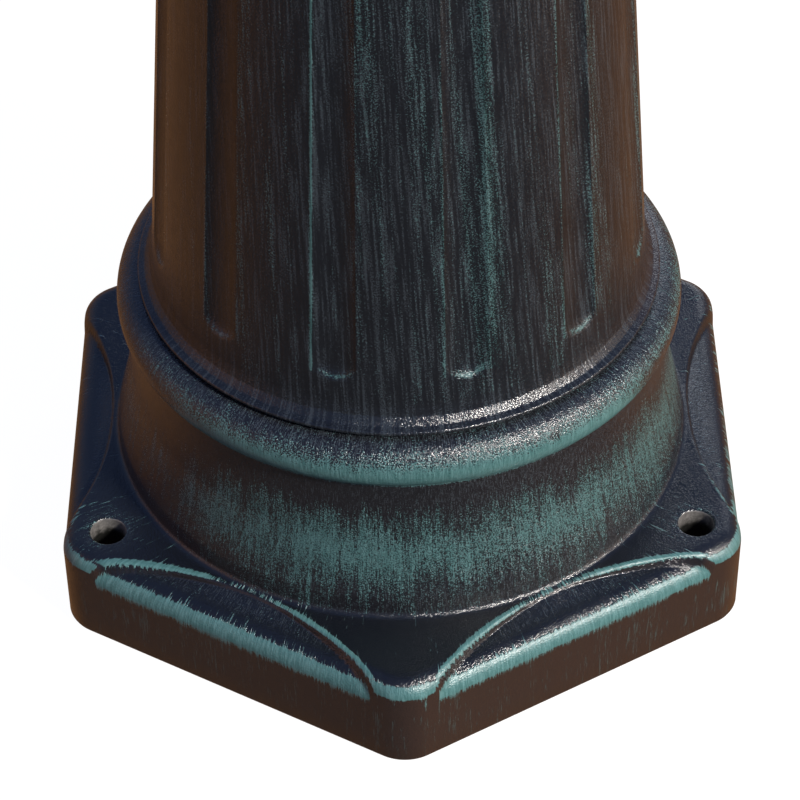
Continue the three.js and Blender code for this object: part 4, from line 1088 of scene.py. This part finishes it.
def make_finishes():
    return {
        "bare_bore": bore_metal(),
        "zinc_steel": plain("zinc_plate", (0.34, 0.36, 0.39), (0.62, 0.64, 0.67), (0.32, 0.5), 1.0, 180),
        "stainless_steel": plain(
            "satin_stainless", (0.42, 0.42, 0.42), (0.66, 0.66, 0.65), (0.24, 0.4), 1.0, 900, (1, 1, 0.06),
        ),
        "bulb_cap_metal": plain("nickel_plate", (0.5, 0.47, 0.42), (0.74, 0.70, 0.64), (0.18, 0.3), 1.0, 500),
        "porcelain": plain(
            "glazed_porcelain", (0.78, 0.77, 0.73), (0.9, 0.89, 0.86), (0.12, 0.2), 0, 60, Coat_Weight=0.5,
        ),
        "white_enamel": plain("stove_enamel", (0.8, 0.8, 0.78), (0.92, 0.92, 0.9), (0.25, 0.38), 0, 500),
        "black_rubber": plain(
            "black_rubber", (0.010, 0.010, 0.011), (0.028, 0.028, 0.030), (0.55, 0.8), 0, 1200,
        ),
        "terminal_plastic": plain(
            "moulded_plastic", (0.68, 0.64, 0.54), (0.8, 0.76, 0.67), (0.38, 0.52), 0, 900,
        ),
        "clear_glass": plain(
            "clear_glass", (0.90, 0.96, 0.95), (0.97, 0.99, 0.98), (0.01, 0.05), 0, 14, bump=0.00001,
            Transmission_Weight=1.0, IOR=1.5,
        ),
        "frosted_bulb": plain(
            "frosted_glass", (0.88, 0.86, 0.79), (0.95, 0.94, 0.90), (0.35, 0.5), 0, 1500, bump=0.00003,
            Transmission_Weight=0.35, Subsurface_Weight=0.3, IOR=1.45,
        ),
    }


# ---- CAD nodes that stay

# Name prefixes of the nodes of each slot, with the width of their eased edges.
KEPT_NODES = (
    ("patinated_casting", 0.5, ("lantern_floor", "glazing_bar_", "lantern_top_ring")),
    ("zinc_steel", 0.35, (
        "clamp_bridge", "tie_rod", "lampholder_bracket", "finial_stud", "finial_nut", "reflector_spacer",
        "reflector_nut",
    )),
    ("stainless_steel", 0.3, ("floor_screw_", "bracket_screw_", "earth_screw", "hinge_leaf_", "hinge_pin")),
    ("clear_glass", 0.3, ("glass_pane_",)),
    ("black_rubber", 0.3, ("cable_gland", "roof_gasket", "supply_cable")),
    ("terminal_plastic", 0.4, ("terminal_block",)),
)
SHARP = math.radians(36)


def ease_edges(node, width, smooth):
    """Rounds a CAD node's sharp edges and shades the rest smooth, with modifiers only."""
    weld = node.modifiers.new("weld", "WELD")
    weld.merge_threshold = 1e-6
    bevel = node.modifiers.new("bevel", "BEVEL")
    bevel.width = width * MM
    bevel.segments = 3
    bevel.limit_method = "ANGLE"
    bevel.angle_limit = SHARP
    node.data.polygons.foreach_set("use_smooth", [smooth] * len(node.data.polygons))
    if smooth:
        split = node.modifiers.new("split", "EDGE_SPLIT")
        split.split_angle = SHARP
        flat = node.modifiers.new("flat_faces", "WEIGHTED_NORMAL")
        flat.weight = 100


def finish_kept_nodes(finishes):
    for slot, width, prefixes in KEPT_NODES:
        for name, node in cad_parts.items():
            if name.startswith(prefixes):
                ease_edges(node, width, smooth=slot != "clear_glass")
                node.data.materials.clear()
                node.data.materials.append(finishes[slot])


# ---- stage

KEY_AZIMUTH = -43
KEY_ELEVATION = 36
DARK_INSIDE_R = 98.0


def area_light(name, azimuth, elevation, distance, size, power, colour, target=(0, 0, 0.06), spread=180):
    a, e = math.radians(azimuth), math.radians(elevation)
    towards = Vector((math.cos(a) * math.cos(e), math.sin(a) * math.cos(e), math.sin(e)))
    data = bpy.data.lights.new(name, "AREA")
    data.shape = "DISK"
    data.size = size
    data.energy = power
    data.spread = math.radians(spread)
    data.color = colour
    light = add_object(name, data)
    light.location = Vector(target) + towards * distance
    light.rotation_mode = "QUATERNION"
    light.rotation_quaternion = towards.to_track_quat("Z", "Y")


def make_world():
    """A deep blue sky over warm ground, darker in front, for reflections and shade.

    What the camera sees directly, or through glass, is white.
    """
    world = bpy.data.worlds.new("studio")
    bpy.context.scene.world = world
    world.use_nodes = True
    n = Nodes(world.node_tree)
    n.tree.nodes.clear()
    _, y, z = n.split(n.new("TexCoord").outputs["Generated"])
    sky = n.mix(n.ramp(z, 0.0, 0.75), (0.18, 0.235, 0.355, 1), (0.082, 0.132, 0.305, 1))
    ground = n.mix(n.ramp(y, -0.55, 0.35), (0.10, 0.095, 0.10, 1), (0.30, 0.145, 0.066, 1))
    soft = n.new("Background")
    n.put(soft.inputs["Color"], n.mix(n.ramp(z, -0.08, 0.06), ground, sky))
    white = n.new("Background")
    white.inputs["Color"].default_value = (1, 1, 1, 1)
    mix = n.new("MixShader")
    rays = n.new("LightPath").outputs
    n.put(mix.inputs[0], n.math("MAXIMUM", rays["Is Camera Ray"], rays["Is Transmission Ray"]))
    n.put(mix.inputs[1], soft.outputs[0])
    n.put(mix.inputs[2], white.outputs[0])
    n.put(n.new("OutputWorld").inputs[0], mix.outputs[0])


def disc_of_floor(name, radius, z, colour, glow):
    n = Surface(name)
    speckle = n.noise(n.place, 90, detail=2)
    n.set(
        Base_Color=n.mix(speckle, (*colour, 1), (*[0.9 * channel for channel in colour], 1)),
        Roughness=1.0,
        Emission_Color=(1, 1, 1, 1),
        Emission_Strength=glow,
    )
    mesh = bpy.data.meshes.new(name)
    ring = [(x, y, z) for x, y in on_circle(radius, full_turn(64))]
    mesh.from_pydata(ring, [], [tuple(range(len(ring)))])
    mesh.materials.append(n.material)
    disc = add_object(name, mesh)
    return disc


def make_stage():
    bpy.context.scene.view_settings.view_transform = "Standard"
    make_world()
    area_light("key", KEY_AZIMUTH, KEY_ELEVATION, 3.0, 0.5, 135, (1.0, 0.955, 0.9))
    area_light("warm_left", 192, 8, 2.0, 1.4, 2.6, (1.0, 0.38, 0.1))
    area_light("warm_right", -12, 10, 2.0, 1.2, 8, (1.0, 0.8, 0.64))
    area_light("back_fill", 70, 2, 3.0, 1.2, 11, (0.92, 0.96, 1.0), target=(0, 0, 0.85))
    # narrow, so that it lights the back of the shaft and lantern and stays off the base
    area_light("shaft_fill", 135, 0, 2.5, 0.8, 8.0, (1.0, 0.96, 0.92), target=(0, 0, 1.35), spread=24)
    floor = disc_of_floor("floor", 12.0, -0.0005, (0.1, 0.1, 0.1), 0.98)
    floor.visible_diffuse = False
    floor.visible_glossy = False
    # shade inside the hollow base, so that the anchor holes look dark
    disc_of_floor("shade_under_base", DARK_INSIDE_R * MM, 0.0002, (0.015, 0.014, 0.013), 0.0)


make_camera()
make_stage()
FINISHES = make_finishes()
FINISHES["patinated_casting"] = patina("patina_on_edges", brushed=False)
PATINA = patina("patinated_casting", brushed=True)
make_base(PATINA, FINISHES["bare_bore"])
for make in (make_column, make_shaft, make_collars, make_capital, make_roof, make_vent_cap, make_finial):
    make(PATINA)
make_reflector(FINISHES["white_enamel"])
make_lampholder(FINISHES["porcelain"])
make_bulb(FINISHES["frosted_bulb"], FINISHES["bulb_cap_metal"])
make_latch(FINISHES["stainless_steel"])
finish_kept_nodes(FINISHES)
